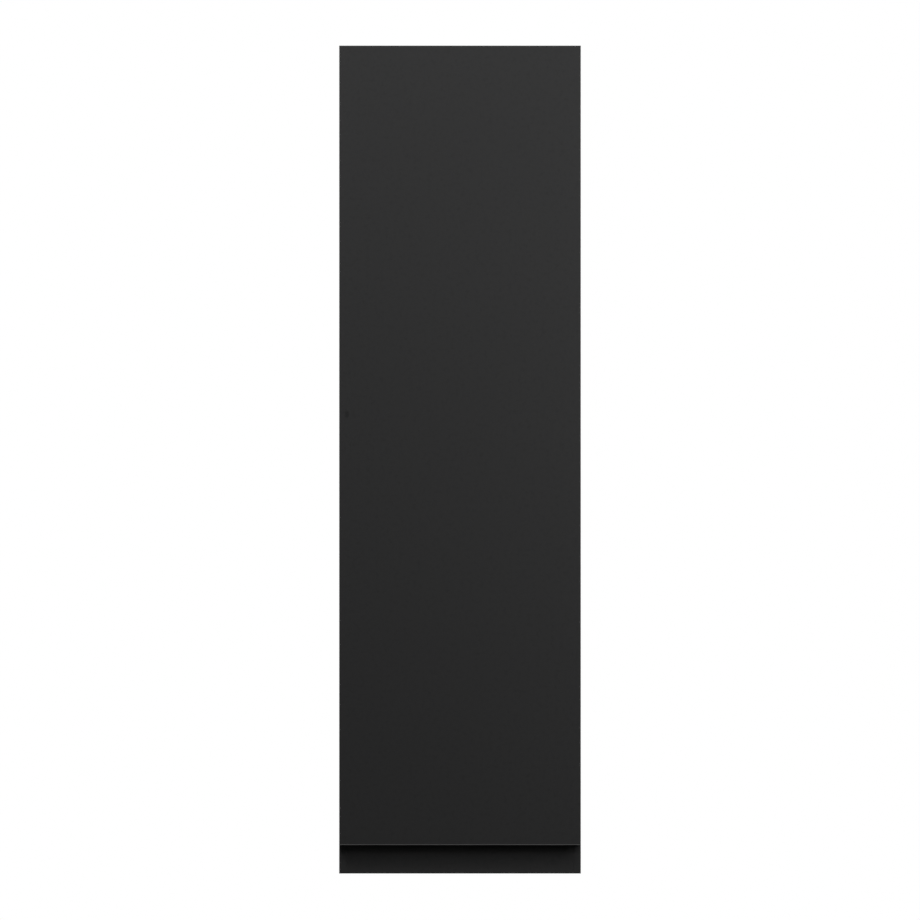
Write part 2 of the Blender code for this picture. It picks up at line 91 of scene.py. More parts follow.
def addSlab(bm, outline, shift):
    face = bm.faces.new([bm.verts.new(point) for point in outline])
    made = bmesh.ops.extrude_face_region(bm, geom=[face])
    moved = [item for item in made["geom"] if isinstance(item, bmesh.types.BMVert)]
    bmesh.ops.translate(bm, verts=moved, vec=shift)
    return list(face.verts) + moved


def addTube(bm, outer, inner, shift):
    # a hollow bar between two outlines with the same number of points
    rings = []
    for outline in (outer, inner):
        verts = [bm.verts.new(point) for point in outline]
        rings.append([bm.edges.new(pair) for pair in zip(verts, verts[1:] + verts[:1])])
    ends = bmesh.ops.bridge_loops(bm, edges=rings[0] + rings[1])["faces"]
    made = bmesh.ops.extrude_face_region(bm, geom=ends)
    moved = [item for item in made["geom"] if isinstance(item, bmesh.types.BMVert)]
    bmesh.ops.translate(bm, verts=moved, vec=shift)


def roundEdges(bm, verts, radius, segments=3, test=None):
    edges = {edge for vert in verts for edge in vert.link_edges}
    picked = [edge for edge in edges if test is None or test(edge)]
    bmesh.ops.bevel(bm, geom=picked, offset=radius, offset_type="OFFSET", segments=segments,
                    profile=0.5, affect="EDGES", clamp_overlap=True, material=-1)


def roundSharp(bm, radius, segments=2, angle=40):
    limit = math.radians(angle)
    sharp = [edge for edge in bm.edges
             if len(edge.link_faces) == 2 and edge.calc_face_angle(0) > limit]
    bmesh.ops.bevel(bm, geom=sharp, offset=radius, offset_type="OFFSET", segments=segments,
                    profile=0.5, affect="EDGES", clamp_overlap=True, material=-1)


def tidyMesh(bm):
    bmesh.ops.remove_doubles(bm, verts=bm.verts, dist=0.000002)
    bmesh.ops.recalc_face_normals(bm, faces=bm.faces)


def toObject(bm, name):
    tidyMesh(bm)
    mesh = bpy.data.meshes.new(name)
    bm.to_mesh(mesh)
    item = bpy.data.objects.new(name, mesh)
    bpy.context.scene.collection.objects.link(item)
    return item


def carve(bm, cutter, operation="DIFFERENCE"):
    # exact Boolean of two closed meshes; the result goes back into bm
    target = toObject(bm, "carveTarget")
    tool = toObject(cutter, "carveTool")
    cutter.free()
    step = target.modifiers.new("carve", "BOOLEAN")
    step.object = tool
    step.operation = operation
    step.solver = "EXACT"
    bpy.context.view_layer.update()
    evaluated = target.evaluated_get(bpy.context.evaluated_depsgraph_get())
    result = bpy.data.meshes.new_from_object(evaluated)
    bm.clear()
    bm.from_mesh(result)
    bpy.data.objects.remove(target, do_unlink=True)
    bpy.data.objects.remove(tool, do_unlink=True)
    bpy.data.meshes.remove(result)


def carveWith(bm, addTool, *values, operation="DIFFERENCE"):
    # shapes a tool with one of the add functions, then carves with it
    tool = bmesh.new()
    addTool(tool, *values)
    carve(bm, tool, operation)


def addCopy(bm, mesh, centre, direction, spin=0.0):
    copy = mesh.copy()
    turn = turnTo(direction) @ Matrix.Rotation(spin, 4, "Z")
    copy.transform(Matrix.Translation(centre) @ turn)
    bm.from_mesh(copy)
    bpy.data.meshes.remove(copy)


def makePiece(name, bm, body, materials, stands=(), pick=None, crease=32, flat=True):
    # pick gives a face's material number from its middle and its normal
    piece = toObject(bm, name)
    bm.free()
    mesh = piece.data
    for material in materials:
        mesh.materials.append(material)
    for face in mesh.polygons:
        face.use_smooth = True
        if pick:
            face.material_index = pick(face.center, face.normal)
    mesh.set_sharp_from_angle(angle=math.radians(crease))
    if flat:
        normals = piece.modifiers.new("flatFaces", "WEIGHTED_NORMAL")
        normals.keep_sharp = True
    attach(piece, body)
    if stands:
        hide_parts(*stands)
    return piece


# Material tools

def newGroup(name, inputs, outputs):
    group = bpy.data.node_groups.new(name, "ShaderNodeTree")
    for label, kind, value in inputs:
        socket = group.interface.new_socket(name=label, in_out="INPUT", socket_type=kind)
        if value is not None:
            socket.default_value = value
    for label, kind in outputs:
        group.interface.new_socket(name=label, in_out="OUTPUT", socket_type=kind)
    start = group.nodes.new("NodeGroupInput")
    end = group.nodes.new("NodeGroupOutput")
    return group, start, end


def mathNode(tree, operation, first, second=None, clamp=False):
    node = tree.nodes.new("ShaderNodeMath")
    node.operation = operation
    node.use_clamp = clamp
    for socket, value in zip(node.inputs, (first, second)):
        if value is None:
            continue
        if isinstance(value, (int, float)):
            socket.default_value = value
        else:
            tree.links.new(value, socket)
    return node.outputs[0]


def weigh(tree, first, firstShare, second, secondShare):
    return mathNode(tree, "ADD", mathNode(tree, "MULTIPLY", first, firstShare),
                    mathNode(tree, "MULTIPLY", second, secondShare))


def scaled(tree, vector, factors):
    node = tree.nodes.new("ShaderNodeVectorMath")
    node.operation = "MULTIPLY"
    node.inputs[1].default_value = factors
    tree.links.new(vector, node.inputs[0])
    return node.outputs[0]


def noiseAt(tree, vector, scale, detail=2.0, roughness=0.5):
    node = tree.nodes.new("ShaderNodeTexNoise")
    node.inputs["Detail"].default_value = detail
    node.inputs["Roughness"].default_value = roughness
    tree.links.new(vector, node.inputs["Vector"])
    if isinstance(scale, (int, float)):
        node.inputs["Scale"].default_value = scale
    else:
        tree.links.new(scale, node.inputs["Scale"])
    return node.outputs[0]


def spread(tree, value, low, high, toLow=0.0, toHigh=1.0):
    node = tree.nodes.new("ShaderNodeMapRange")
    node.interpolation_type = "SMOOTHSTEP"
    tree.links.new(value, node.inputs[0])
    for socket, number in zip(list(node.inputs)[1:5], (low, high, toLow, toHigh)):
        socket.default_value = number
    return node.outputs[0]


def mixColors(tree, factor, first, second):
    node = tree.nodes.new("ShaderNodeMix")
    node.data_type = "RGBA"
    tree.links.new(factor, node.inputs[0])
    for socket, color in ((node.inputs[6], first), (node.inputs[7], second)):
        if isinstance(color, tuple):
            socket.default_value = (*color, 1.0)
        else:
            tree.links.new(color, socket)
    return node.outputs[2]


def makeReliefGroup():
    # fine pearl grain of foils, coatings and moulded plastic, with a slow drift of tone
    group, start, end = newGroup(
        "fineRelief",
        [("Vector", "NodeSocketVector", None), ("Grain Scale", "NodeSocketFloat", 2000.0),
         ("Drift Scale", "NodeSocketFloat", 3.0)],
        [("Height", "NodeSocketFloat"), ("Drift", "NodeSocketFloat")])
    vector = start.outputs[0]
    fine = noiseAt(group, vector, start.outputs[1], 2.0, 0.6)
    middle = noiseAt(group, vector, mathNode(group, "MULTIPLY", start.outputs[1], 0.31), 1.0)
    drift = noiseAt(group, vector, start.outputs[2], 3.0, 0.55)
    group.links.new(weigh(group, fine, 0.65, middle, 0.35), end.inputs[0])
    group.links.new(drift, end.inputs[1])
    return group


def makeWeaveGroup():
    # crossed threads pressed into the inside faces of the boards
    group, start, end = newGroup(
        "pressedWeave",
        [("Vector", "NodeSocketVector", None), ("Thread Scale", "NodeSocketFloat", 900.0)],
        [("Height", "NodeSocketFloat"), ("Tone", "NodeSocketFloat")])
    upright = noiseAt(group, scaled(group, start.outputs[0], (1.0, 1.0, 0.03)), start.outputs[1])
    level = noiseAt(group, scaled(group, start.outputs[0], (0.03, 0.03, 1.0)), start.outputs[1])
    height = mathNode(group, "MAXIMUM", upright, level)
    slow = noiseAt(group, scaled(group, start.outputs[0], (1.0, 1.0, 0.12)), 55.0, 3.0)
    group.links.new(height, end.inputs[0])
    group.links.new(weigh(group, height, 0.7, slow, 0.3), end.inputs[1])
    return group


def makeDustGroup():
    # scattered small specks: a cell counts only where its own random value is high
    group, start, end = newGroup(
        "dustSpecks",
        [("Vector", "NodeSocketVector", None), ("Cell Scale", "NodeSocketFloat", 60.0),
         ("Speck Size", "NodeSocketFloat", 0.04), ("Share", "NodeSocketFloat", 0.02)],
        [("Mask", "NodeSocketFloat")])
    cells = group.nodes.new("ShaderNodeTexVoronoi")
    group.links.new(start.outputs[0], cells.inputs["Vector"])
    group.links.new(start.outputs[1], cells.inputs["Scale"])
    near = mathNode(group, "LESS_THAN", cells.outputs["Distance"], start.outputs[2])
    split = group.nodes.new("ShaderNodeSeparateColor")
    group.links.new(cells.outputs["Color"], split.inputs[0])
    limit = mathNode(group, "SUBTRACT", 1.0, start.outputs[3])
    chosen = mathNode(group, "GREATER_THAN", split.outputs[0], limit)
    group.links.new(mathNode(group, "MULTIPLY", near, chosen), end.inputs[0])
    return group


def makeScuffGroup():
    # hair-fine scratches that show on metal
    group, start, end = newGroup(
        "fineScuffs",
        [("Vector", "NodeSocketVector", None), ("Scuff Scale", "NodeSocketFloat", 400.0)],
        [("Mask", "NodeSocketFloat"), ("Height", "NodeSocketFloat")])
    first = noiseAt(group, scaled(group, start.outputs[0], (1.0, 0.06, 0.3)), start.outputs[1], 3.0)
    second = noiseAt(group, scaled(group, start.outputs[0], (0.1, 0.8, 0.05)), start.outputs[1], 3.0)
    both = mathNode(group, "MAXIMUM", first, second)
    group.links.new(spread(group, both, 0.60, 0.95), end.inputs[0])
    group.links.new(both, end.inputs[1])
    return group


groups = {
    "relief": makeReliefGroup(),
    "weave": makeWeaveGroup(),
    "dust": makeDustGroup(),
    "scuffs": makeScuffGroup(),
}
print("node groups ready")


def startMaterial(name, roughness, metallic=0.0, specular=None):
    material = bpy.data.materials.new(name)
    material.use_nodes = True
    tree = material.node_tree
    shader = tree.nodes["Principled BSDF"]
    shader.inputs["Roughness"].default_value = roughness
    shader.inputs["Metallic"].default_value = metallic
    if specular is not None:
        shader.inputs["Specular IOR Level"].default_value = specular
    coordinates = tree.nodes.new("ShaderNodeTexCoord")
    return material, tree, shader, coordinates.outputs["Object"]


def useGroup(tree, name, vector, **values):
    node = tree.nodes.new("ShaderNodeGroup")
    node.node_tree = groups[name]
    tree.links.new(vector, node.inputs["Vector"])
    for socket in node.inputs:
        key = socket.name.replace(" ", "")
        if key in values:
            socket.default_value = values[key]
    return node


def addDust(tree, vector, color, dustColor, cellScale, speckSize, share):
    dust = useGroup(tree, "dust", vector, CellScale=cellScale, SpeckSize=speckSize, Share=share)
    return mixColors(tree, dust.outputs["Mask"], color, dustColor)


def linkSurface(tree, shader, color, height, strength, distance, roughness=None):
    tree.links.new(color, shader.inputs["Base Color"])
    if roughness is not None:
        tree.links.new(roughness, shader.inputs["Roughness"])
    bump = tree.nodes.new("ShaderNodeBump")
    bump.inputs["Strength"].default_value = strength
    bump.inputs["Distance"].default_value = distance
    tree.links.new(height, bump.inputs["Height"])
    tree.links.new(bump.outputs[0], shader.inputs["Normal"])


foilValues = {
    "color": (0.0325, 0.0325, 0.0330),
    "driftColor": (0.0345, 0.0345, 0.0348),
    "roughness": (0.60, 0.70),
    "specular": 0.08,
    "grainScale": 1500.0,
    "bump": 0.10,
    "touchColor": (0.0200, 0.0200, 0.0200),
    "touchSize": (0.0062, 0.004, 0.0112),
    "touchInset": 0.019,
    "touchDrop": 0.0025,
    "mottleScale": 85.0,
    "mottleColor": (0.0300, 0.0300, 0.0304),
    "dustColor": (0.11, 0.11, 0.11),
    "dust": (30.0, 0.030, 0.006),       # cells in a metre, size in a cell, share of cells
}


def makeFoil(name, withTouch):
    # super-matt charcoal foil; the door also has a faint hand mark where it is pushed
    values = foilValues
    material, tree, shader, vector = startMaterial(name, 0.55, specular=values["specular"])
    relief = useGroup(tree, "relief", vector, GrainScale=values["grainScale"], DriftScale=2.3)
    color = mixColors(tree, relief.outputs["Drift"], values["color"], values["driftColor"])
    mottle = spread(tree, noiseAt(tree, vector, values["mottleScale"], 3.0, 0.6), 0.45, 0.80)
    color = mixColors(tree, mottle, color, values["mottleColor"])
    roughness = spread(tree, relief.outputs["Drift"], 0.3, 0.7, *values["roughness"])
    color = addDust(tree, vector, color, values["dustColor"], *values["dust"])
    if withTouch:
        low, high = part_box("door_panel")
        strikeLow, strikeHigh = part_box("latch_strike")
        centre = (low.x + values["touchInset"], low.y,
                  (strikeLow.z + strikeHigh.z) / 2 - values["touchDrop"])
        away = tree.nodes.new("ShaderNodeVectorMath")
        away.operation = "SUBTRACT"
        away.inputs[1].default_value = centre
        tree.links.new(vector, away.inputs[0])
        sized = scaled(tree, away.outputs[0], [1 / size for size in values["touchSize"]])
        length = tree.nodes.new("ShaderNodeVectorMath")
        length.operation = "LENGTH"
        tree.links.new(sized, length.inputs[0])
        smear = noiseAt(tree, vector, 300.0, 2.0)
        edge = mathNode(tree, "ADD", length.outputs["Value"], mathNode(tree, "MULTIPLY", smear, 0.5))
        touched = spread(tree, edge, 0.6, 1.5, 0.75, 0.0)
        color = mixColors(tree, touched, color, values["touchColor"])
    linkSurface(tree, shader, color, relief.outputs["Height"], values["bump"], 0.0002, roughness)
    return material


bandValues = {
    "caseBand": {"color": (0.0325, 0.0325, 0.0330), "lighter": (0.0345, 0.0345, 0.0350),
                 "roughness": 0.62, "specular": 0.08},
    "doorBand": {"color": (0.0325, 0.0325, 0.0330), "lighter": (0.0365, 0.0365, 0.0370),
                 "roughness": 0.55, "specular": 0.15},
    # the lower door band's pale colour is a painted highlight along the door's bottom edge
    "sealedBand": {"color": (0.120, 0.120, 0.121), "lighter": (0.140, 0.140, 0.141),
                   "roughness": 0.30, "specular": 1.0},
}


def makeBandMaterial(name):
    # extruded edge band with faint lines along its length; the door's lower band is
    # milled to a larger radius and has a smoother finish and a paler colour, a painted highlight along
    # the door's bottom edge
    values = bandValues[name]
    material, tree, shader, vector = startMaterial(name, values["roughness"],
                                                   specular=values["specular"])
    lines = noiseAt(tree, scaled(tree, vector, (1.0, 1.0, 0.02)), 1800.0, 2.0)
    relief = useGroup(tree, "relief", vector, GrainScale=2600.0, DriftScale=9.0)
    color = mixColors(tree, relief.outputs["Drift"], values["color"], values["lighter"])
    height = weigh(tree, lines, 0.6, relief.outputs["Height"], 0.4)
    linkSurface(tree, shader, color, height, 0.08, 0.0002)
    return material


decorValues = {"dark": (0.175, 0.174, 0.176), "light": (0.300, 0.298, 0.296), "threads": 950.0,
               "dustColor": (0.20, 0.20, 0.20), "dust": (70.0, 0.05, 0.01)}


def makeDecor(name, layFlat):
    # graphite melamine with a pressed weave; layFlat turns the threads for level boards
    values = decorValues
    material, tree, shader, vector = startMaterial(name, 0.55)
    mapping = tree.nodes.new("ShaderNodeMapping")
    tree.links.new(vector, mapping.inputs["Vector"])
    if layFlat:
        mapping.inputs["Rotation"].default_value = (math.radians(90), 0, 0)
    weave = useGroup(tree, "weave", mapping.outputs[0], ThreadScale=values["threads"])
    tone = spread(tree, weave.outputs["Tone"], 0.35, 0.75)
    color = mixColors(tree, tone, values["dark"], values["light"])
    color = addDust(tree, vector, color, values["dustColor"], *values["dust"])
    roughness = spread(tree, weave.outputs["Tone"], 0.3, 0.8, 0.62, 0.48)
    linkSurface(tree, shader, color, weave.outputs["Height"], 0.22, 0.0004, roughness)
    return material


chipValues = {"dark": (0.23, 0.15, 0.085), "light": (0.55, 0.42, 0.28), "chipScale": 420.0}


def makeChipboard():
    # the bare core that shows in holes, grooves and unbanded edges
    material, tree, shader, vector = startMaterial("bareChipboard", 0.85)
    cells = tree.nodes.new("ShaderNodeTexVoronoi")
    cells.inputs["Scale"].default_value = chipValues["chipScale"]
    tree.links.new(scaled(tree, vector, (1.0, 1.0, 0.35)), cells.inputs["Vector"])
    split = tree.nodes.new("ShaderNodeSeparateColor")
    tree.links.new(cells.outputs["Color"], split.inputs[0])
    blend = weigh(tree, split.outputs[0], 0.6, noiseAt(tree, vector, 900.0, 4.0, 0.7), 0.4)
    color = mixColors(tree, blend, chipValues["dark"], chipValues["light"])
    linkSurface(tree, shader, color, blend, 0.5, 0.0006)
    return material


sheetValues = {"print": (0.215, 0.214, 0.214), "printLight": (0.275, 0.273, 0.270),
               "brown": (0.175, 0.100, 0.052), "brownLight": (0.30, 0.185, 0.10)}


def makeSheetMaterial():
    # thin hardboard: printed grey on the front, bare brown fibre on the rear
    material, tree, shader, vector = startMaterial("hardboardSheet", 0.7)
    weave = useGroup(tree, "weave", vector, ThreadScale=800.0)
    printed = mixColors(tree, weave.outputs["Tone"], sheetValues["print"], sheetValues["printLight"])
    fibre = noiseAt(tree, vector, 260.0, 6.0, 0.72)
    blend = weigh(tree, fibre, 0.7, noiseAt(tree, vector, 7.0, 3.0), 0.3)
    brown = mixColors(tree, spread(tree, blend, 0.3, 0.7), sheetValues["brown"],
                      sheetValues["brownLight"])
    split = tree.nodes.new("ShaderNodeSeparateXYZ")
    tree.links.new(vector.node.outputs["Normal"], split.inputs[0])
    rear = mathNode(tree, "GREATER_THAN", split.outputs[1], 0.5)
    color = mixColors(tree, rear, printed, brown)
    linkSurface(tree, shader, color, fibre, 0.15, 0.0004)
    return material


metalValues = {
    "nickelPlate": {"color": (0.56, 0.545, 0.52), "worn": (0.46, 0.45, 0.43),
                    "roughness": (0.24, 0.40), "scuffTint": 0.5, "scuffScale": 700.0},
    "brightRail": {"color": (0.66, 0.66, 0.66), "worn": (0.60, 0.60, 0.60),
                   "roughness": (0.16, 0.24), "scuffTint": 0.25, "scuffScale": 1500.0},
    "zincPlate": {"color": (0.58, 0.59, 0.60), "worn": (0.44, 0.44, 0.45),
                  "roughness": (0.30, 0.46), "scuffTint": 0.5, "scuffScale": 700.0},
}


def makeMetal(name):
    values = metalValues[name]
    material, tree, shader, vector = startMaterial(name, 0.3, 1.0)
    relief = useGroup(tree, "relief", vector, GrainScale=1100.0, DriftScale=35.0)
    scuffs = useGroup(tree, "scuffs", vector, ScuffScale=values["scuffScale"])
    color = mixColors(tree, mathNode(tree, "MULTIPLY", scuffs.outputs["Mask"], values["scuffTint"]),
                      values["color"], values["worn"])
    drift = spread(tree, relief.outputs["Drift"], 0.3, 0.7, *values["roughness"])
    scuffed = mathNode(tree, "MULTIPLY", scuffs.outputs["Mask"], 0.10)
    roughness = mathNode(tree, "ADD", drift, scuffed, clamp=True)
    linkSurface(tree, shader, color, relief.outputs["Height"], 0.05, 0.0001, roughness)
    return material


plasticValues = {
    "blackPlastic": {"color": (0.018, 0.018, 0.018), "light": (0.026, 0.026, 0.026), "roughness": 0.48},
    "greyPlastic": {"color": (0.100, 0.100, 0.104), "light": (0.125, 0.125, 0.128), "roughness": 0.44},
    "rubberTip": {"color": (0.012, 0.012, 0.012), "light": (0.020, 0.020, 0.020), "roughness": 0.78},
}
plasticDust = {"color": (0.16, 0.16, 0.155), "dust": (160.0, 0.07, 0.03)}


def makePlastic(name):
    values = plasticValues[name]
    material, tree, shader, vector = startMaterial(name, values["roughness"])
    relief = useGroup(tree, "relief", vector, GrainScale=1700.0, DriftScale=28.0)
    color = mixColors(tree, relief.outputs["Drift"], values["color"], values["light"])
    color = addDust(tree, vector, color, plasticDust["color"], *plasticDust["dust"])
    linkSurface(tree, shader, color, relief.outputs["Height"], 0.18, 0.0002)
    return material


doorFoil = makeFoil("charcoalDoorFoil", True)
caseFoil = makeFoil("charcoalCaseFoil", False)
caseBand = makeBandMaterial("caseBand")
doorBand = makeBandMaterial("doorBand")
sealedBand = makeBandMaterial("sealedBand")
uprightDecor = makeDecor("graphiteDecorUpright", False)
levelDecor = makeDecor("graphiteDecorLevel", True)
chipboard = makeChipboard()
hardboard = makeSheetMaterial()
nickel = makeMetal("nickelPlate")
rail = makeMetal("brightRail")
zinc = makeMetal("zincPlate")
blackPlastic = makePlastic("blackPlastic")
greyPlastic = makePlastic("greyPlastic")
rubber = makePlastic("rubberTip")
print("materials ready")


# Screws are shaped once and copied into place

screwValues = {
    "panHead": {"radius": 0.0036, "height": 0.0016},
    "plateHead": {"radius": 0.0034, "height": 0.0014},
    "flatHead": {"radius": 0.0030, "height": 0.0006},
    "smallHead": {"radius": 0.0022, "height": 0.0009},
}


def makeScrewMesh(name):
    values = screwValues[name]
    radius = values["radius"]
    height = values["height"]
    bm = bmesh.new()
    profile = [(0, height), (radius * 0.5, height * 0.97), (radius * 0.82, height * 0.75),
               (radius * 0.97, height * 0.4), (radius, height * 0.1), (radius * 0.97, 0), (0, 0)]
    addTurned(bm, profile, (0, 0, 0), zWay, steps=32)
    cutter = bmesh.new()
    slot = radius * 0.13
    reach = radius * 0.55
    floor = height * 0.35
    addBlock(cutter, (-reach, -slot, floor), (reach, slot, height * 2))
    carveWith(cutter, addBlock, (-slot, -reach, floor), (slot, reach, height * 2),
              operation="UNION")
    carve(bm, cutter)
    tidyMesh(bm)
    mesh = bpy.data.meshes.new(name)
    bm.to_mesh(mesh)
    bm.free()
    return mesh


screws = {name: makeScrewMesh(name) for name in screwValues}


def makeScrews(name, body, places, kind, direction):
    bm = bmesh.new()
    for number, place in enumerate(places):
        addCopy(bm, screws[kind], place, direction, spin=0.6 + 1.1 * number)
    return makePiece(name, bm, body, [zinc], flat=False)


# Boards

boardValues = {
    "band": 0.0008,           # thickness of the front edge band
    "bandRadius": 0.0004,
    "arris": 0.0003,
    "faceDepth": 0.0004,      # faces nearer the surface than this carry the decor
    "rowHole": 0.0026,
    "rowDepth": 0.012,
    "rowPitch": 0.032,
    "rowBottom": 0.13,
    "rowTop": 1.97,
    "grooveDepth": 0.005,     # grooves for the back sheet
    "grooveSlack": 0.0003,
    "keyHole": 0.0060,        # holes over the levellers
}


def alongAxis(edge, axis):
    way = edge.verts[0].co - edge.verts[1].co
    return abs(way[axis]) > 0.9 * way.length


def makeBand(name, low, high, body, material, axis, outward, value, radius):
    # a strip along one edge of a board; its two long outer edges are rounded
    bm = bmesh.new()
    verts = addBlock(bm, low, high)

    def isOuter(edge):
        middle = (edge.verts[0].co + edge.verts[1].co) / 2
        return abs(middle[outward] - value) < 0.00001 and alongAxis(edge, axis)

    roundEdges(bm, verts, radius, 4, isOuter)
    return makePiece(name, bm, body, [material])


def makeBoard(node, thin, faces, bandAxis, cutter=None):
    # thin is the board's thickness axis; faces are the materials of its low and high side
    low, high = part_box(node)
    values = boardValues
    bm = bmesh.new()
    coreLow = Vector((low.x, low.y + values["band"], low.z))
    verts = addBlock(bm, coreLow, high)
    roundEdges(bm, verts, values["arris"], 1)
    if cutter:
        carve(bm, cutter)

    def pick(middle, normal):
        if middle[thin] - low[thin] < values["faceDepth"]:
            return 0
        if high[thin] - middle[thin] < values["faceDepth"]:
            return 1
        banded = thin == 0 and high.z - middle.z < values["faceDepth"] and normal.z > 0.5
        return 3 if banded else 2

    makePiece(node + "_core", bm, "carcass", [*faces, chipboard, caseFoil], [node], pick)
    bandHigh = (high.x, coreLow.y, high.z)
    makeBand(node + "_band", low, bandHigh, "carcass", caseBand, bandAxis, 1, low.y,
             values["bandRadius"])


def rowHeights():
    pinLow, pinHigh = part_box("lower_shelf_pin_left_front")
    start = (pinLow.z + pinHigh.z) / 2
    pitch = boardValues["rowPitch"]
    first = math.ceil((boardValues["rowBottom"] - start) / pitch)
    last = math.floor((boardValues["rowTop"] - start) / pitch)
    return [start + step * pitch for step in range(first, last + 1)]


def rowDepths():
    rows = []
    for place in ("front", "rear"):
        low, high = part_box("lower_shelf_pin_left_" + place)
        rows.append((low.y + high.y) / 2)
    return rows


def makeSide(node, sign):
    low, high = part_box(node)
    inner = low.x if sign > 0 else high.x
    sheetLow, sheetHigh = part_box("back_lower")
    cutter = bmesh.new()
    deepest = sheetHigh.x + 0.001 if sign > 0 else sheetLow.x - 0.001
    grooveX = sorted((inner - sign * boardValues["grooveDepth"], deepest))
    slack = boardValues["grooveSlack"]
    addBlock(cutter, (grooveX[0], sheetLow.y - slack, low.z - 0.01),
             (grooveX[1], sheetHigh.y + slack, high.z - 0.011))
    for y in rowDepths():
        for z in rowHeights():
            addRod(cutter, (inner, y, z), xWay, boardValues["rowHole"],
                   2 * boardValues["rowDepth"], 16)
    faces = [uprightDecor, caseFoil] if sign > 0 else [caseFoil, uprightDecor]
    makeBoard(node, 0, faces, 2, cutter)


makeSide("side_left", -1)
makeSide("side_right", 1)


def makeLevelBoards():
    low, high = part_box("top_panel")
    sheetLow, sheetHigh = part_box("back_upper")
    cutter = bmesh.new()
    slack = boardValues["grooveSlack"]
    addBlock(cutter, (low.x - 0.01, sheetLow.y - slack, low.z - 0.01),
             (high.x + 0.01, sheetHigh.y + slack, sheetHigh.z + 0.001))
    makeBoard("top_panel", 2, [levelDecor, caseFoil], 0, cutter)
    cutter = bmesh.new()
    for number in range(1, 5):
        capLow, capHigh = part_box(f"leveller_cap_{number}")
        addRod(cutter, (capLow + capHigh) / 2, zWay, boardValues["keyHole"], 0.08, 32)
    makeBoard("bottom_panel", 2, [caseFoil, levelDecor], 0, cutter)
    makeBoard("lower_shelf", 2, [levelDecor, levelDecor], 0)
    makeBoard("hat_shelf", 2, [levelDecor, levelDecor], 0)


makeLevelBoards()


def makePlinths():
    # the boards meet the sides and the bottom panel without a gap
    sideFaces = (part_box("side_left")[1].x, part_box("side_right")[0].x)
    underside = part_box("bottom_panel")[0].z
    for node in ("plinth_front", "plinth_rear"):
        low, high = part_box(node)
        bm = bmesh.new()
        verts = addBlock(bm, (sideFaces[0], low.y, 0.0), (sideFaces[1], high.y, underside))

        def isTop(edge):
            return min(vert.co.z for vert in edge.verts) > low.z + 0.01

        roundEdges(bm, verts, 0.0002, 1, isTop)

        def pick(middle, normal, low=low, high=high):
            onFace = min(middle.y - low.y, high.y - middle.y) < boardValues["faceDepth"]
            return 0 if onFace else 1

        makePiece(node + "_board", bm, "carcass", [caseFoil, chipboard], [node],
                  pick)


makePlinths()
for node, material in (("back_lower", hardboard), ("back_upper", hardboard),
                       ("back_joiner", blackPlastic)):
    frame["nodes"][node].data.materials.clear()
    frame["nodes"][node].data.materials.append(material)


nailValues = {"count": 8, "inset": 0.03}


def makeNails():
    # small nails hold the lower back sheet to the bottom panel's edge
    low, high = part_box("bottom_panel")
    sheetLow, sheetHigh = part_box("back_lower")
    bm = bmesh.new()
    count = nailValues["count"]
    inset = nailValues["inset"]
    z = (low.z + high.z) / 2
    for number in range(count):
        x = low.x + inset + (high.x - low.x - 2 * inset) * number / (count - 1)
        profile = [(0, 0.0005), (0.0011, 0.0004), (0.0015, 0.0001), (0.0015, 0.00001), (0, 0.00001)]
        addTurned(bm, profile, (x, sheetHigh.y, z), yWay, 16)
    makePiece("backNails", bm, "carcass", [zinc], flat=False)


makeNails()
print("case boards ready")


# Door leaf

doorValues = {
    "band": 0.0020,
    "edgeRadius": 0.0015,
    "lowerRadius": 0.0019,
    "seam": 0.00012,          # tiny break where the band meets the face
    "boreClearance": 0.0003,
}


def makeDoor():
    values = doorValues
    low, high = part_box("door_panel")
    band = values["band"]
    coreLow = Vector((low.x + band, low.y, low.z + band))
    coreHigh = Vector((high.x - band, high.y, high.z - band))
    bm = bmesh.new()
    verts = addBlock(bm, coreLow, coreHigh)
    roundEdges(bm, verts, values["seam"], 1)
    cutter = bmesh.new()
    for number in range(1, 5):
        cupLow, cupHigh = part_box(f"hinge_cup_{number}")
        radius = (cupHigh.x - cupLow.x) / 2
        centre = (cupLow + cupHigh) / 2
        depth = high.y - cupLow.y + values["boreClearance"]
        addRod(cutter, (centre.x, high.y, centre.z), yWay, radius + values["boreClearance"],
               2 * depth, 64)
    carve(bm, cutter)

    def pick(middle, normal):
        onFace = min(middle.y - low.y, high.y - middle.y) < boardValues["faceDepth"]
        return 0 if onFace else 1

    makePiece("doorLeaf", bm, "door", [doorFoil, chipboard], ["door_panel"], pick)
    left = low.x + band
    right = high.x - band
    bands = {
        "doorBandLeft": (low, (left, high.y, high.z), 2, 0, low.x),
        "doorBandRight": ((right, low.y, low.z), high, 2, 0, high.x),
        "doorBandBottom": ((left, low.y, low.z), (right, high.y, low.z + band), 0, 2, low.z),
        "doorBandTop": ((left, low.y, high.z - band), (right, high.y, high.z), 0, 2, high.z),
    }
    for name, (bandLow, bandHigh, axis, outward, value) in bands.items():
        # the lower band gets the pale colour of a painted highlight along the door's bottom edge
        isLower = name == "doorBandBottom"
        makeBand(name, bandLow, bandHigh, "door",
                 sealedBand if isLower else doorBand, axis, outward, value,
                 values["lowerRadius"] if isLower else values["edgeRadius"])


bumperValues = {"radius": 0.0045, "height": 0.0012, "inset": 0.0095, "endInset": 0.030}


def makeBumpers():
    # soft clear pads keep the door's free edge off the case
    low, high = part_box("door_panel")
    values = bumperValues
    radius = values["radius"]
    height = values["height"]
    bm = bmesh.new()
    for z in (low.z + values["endInset"], high.z - values["endInset"]):
        profile = [(0, height), (radius * 0.45, height * 0.96), (radius * 0.8, height * 0.75),
                   (radius * 0.97, height * 0.4), (radius, hairline), (0, hairline)]
        addTurned(bm, profile, (low.x + values["inset"], high.y, z), yWay, 32)
    makePiece("doorBumpers", bm, "door", [greyPlastic], flat=False)


makeDoor()
makeBumpers()
print("door ready")


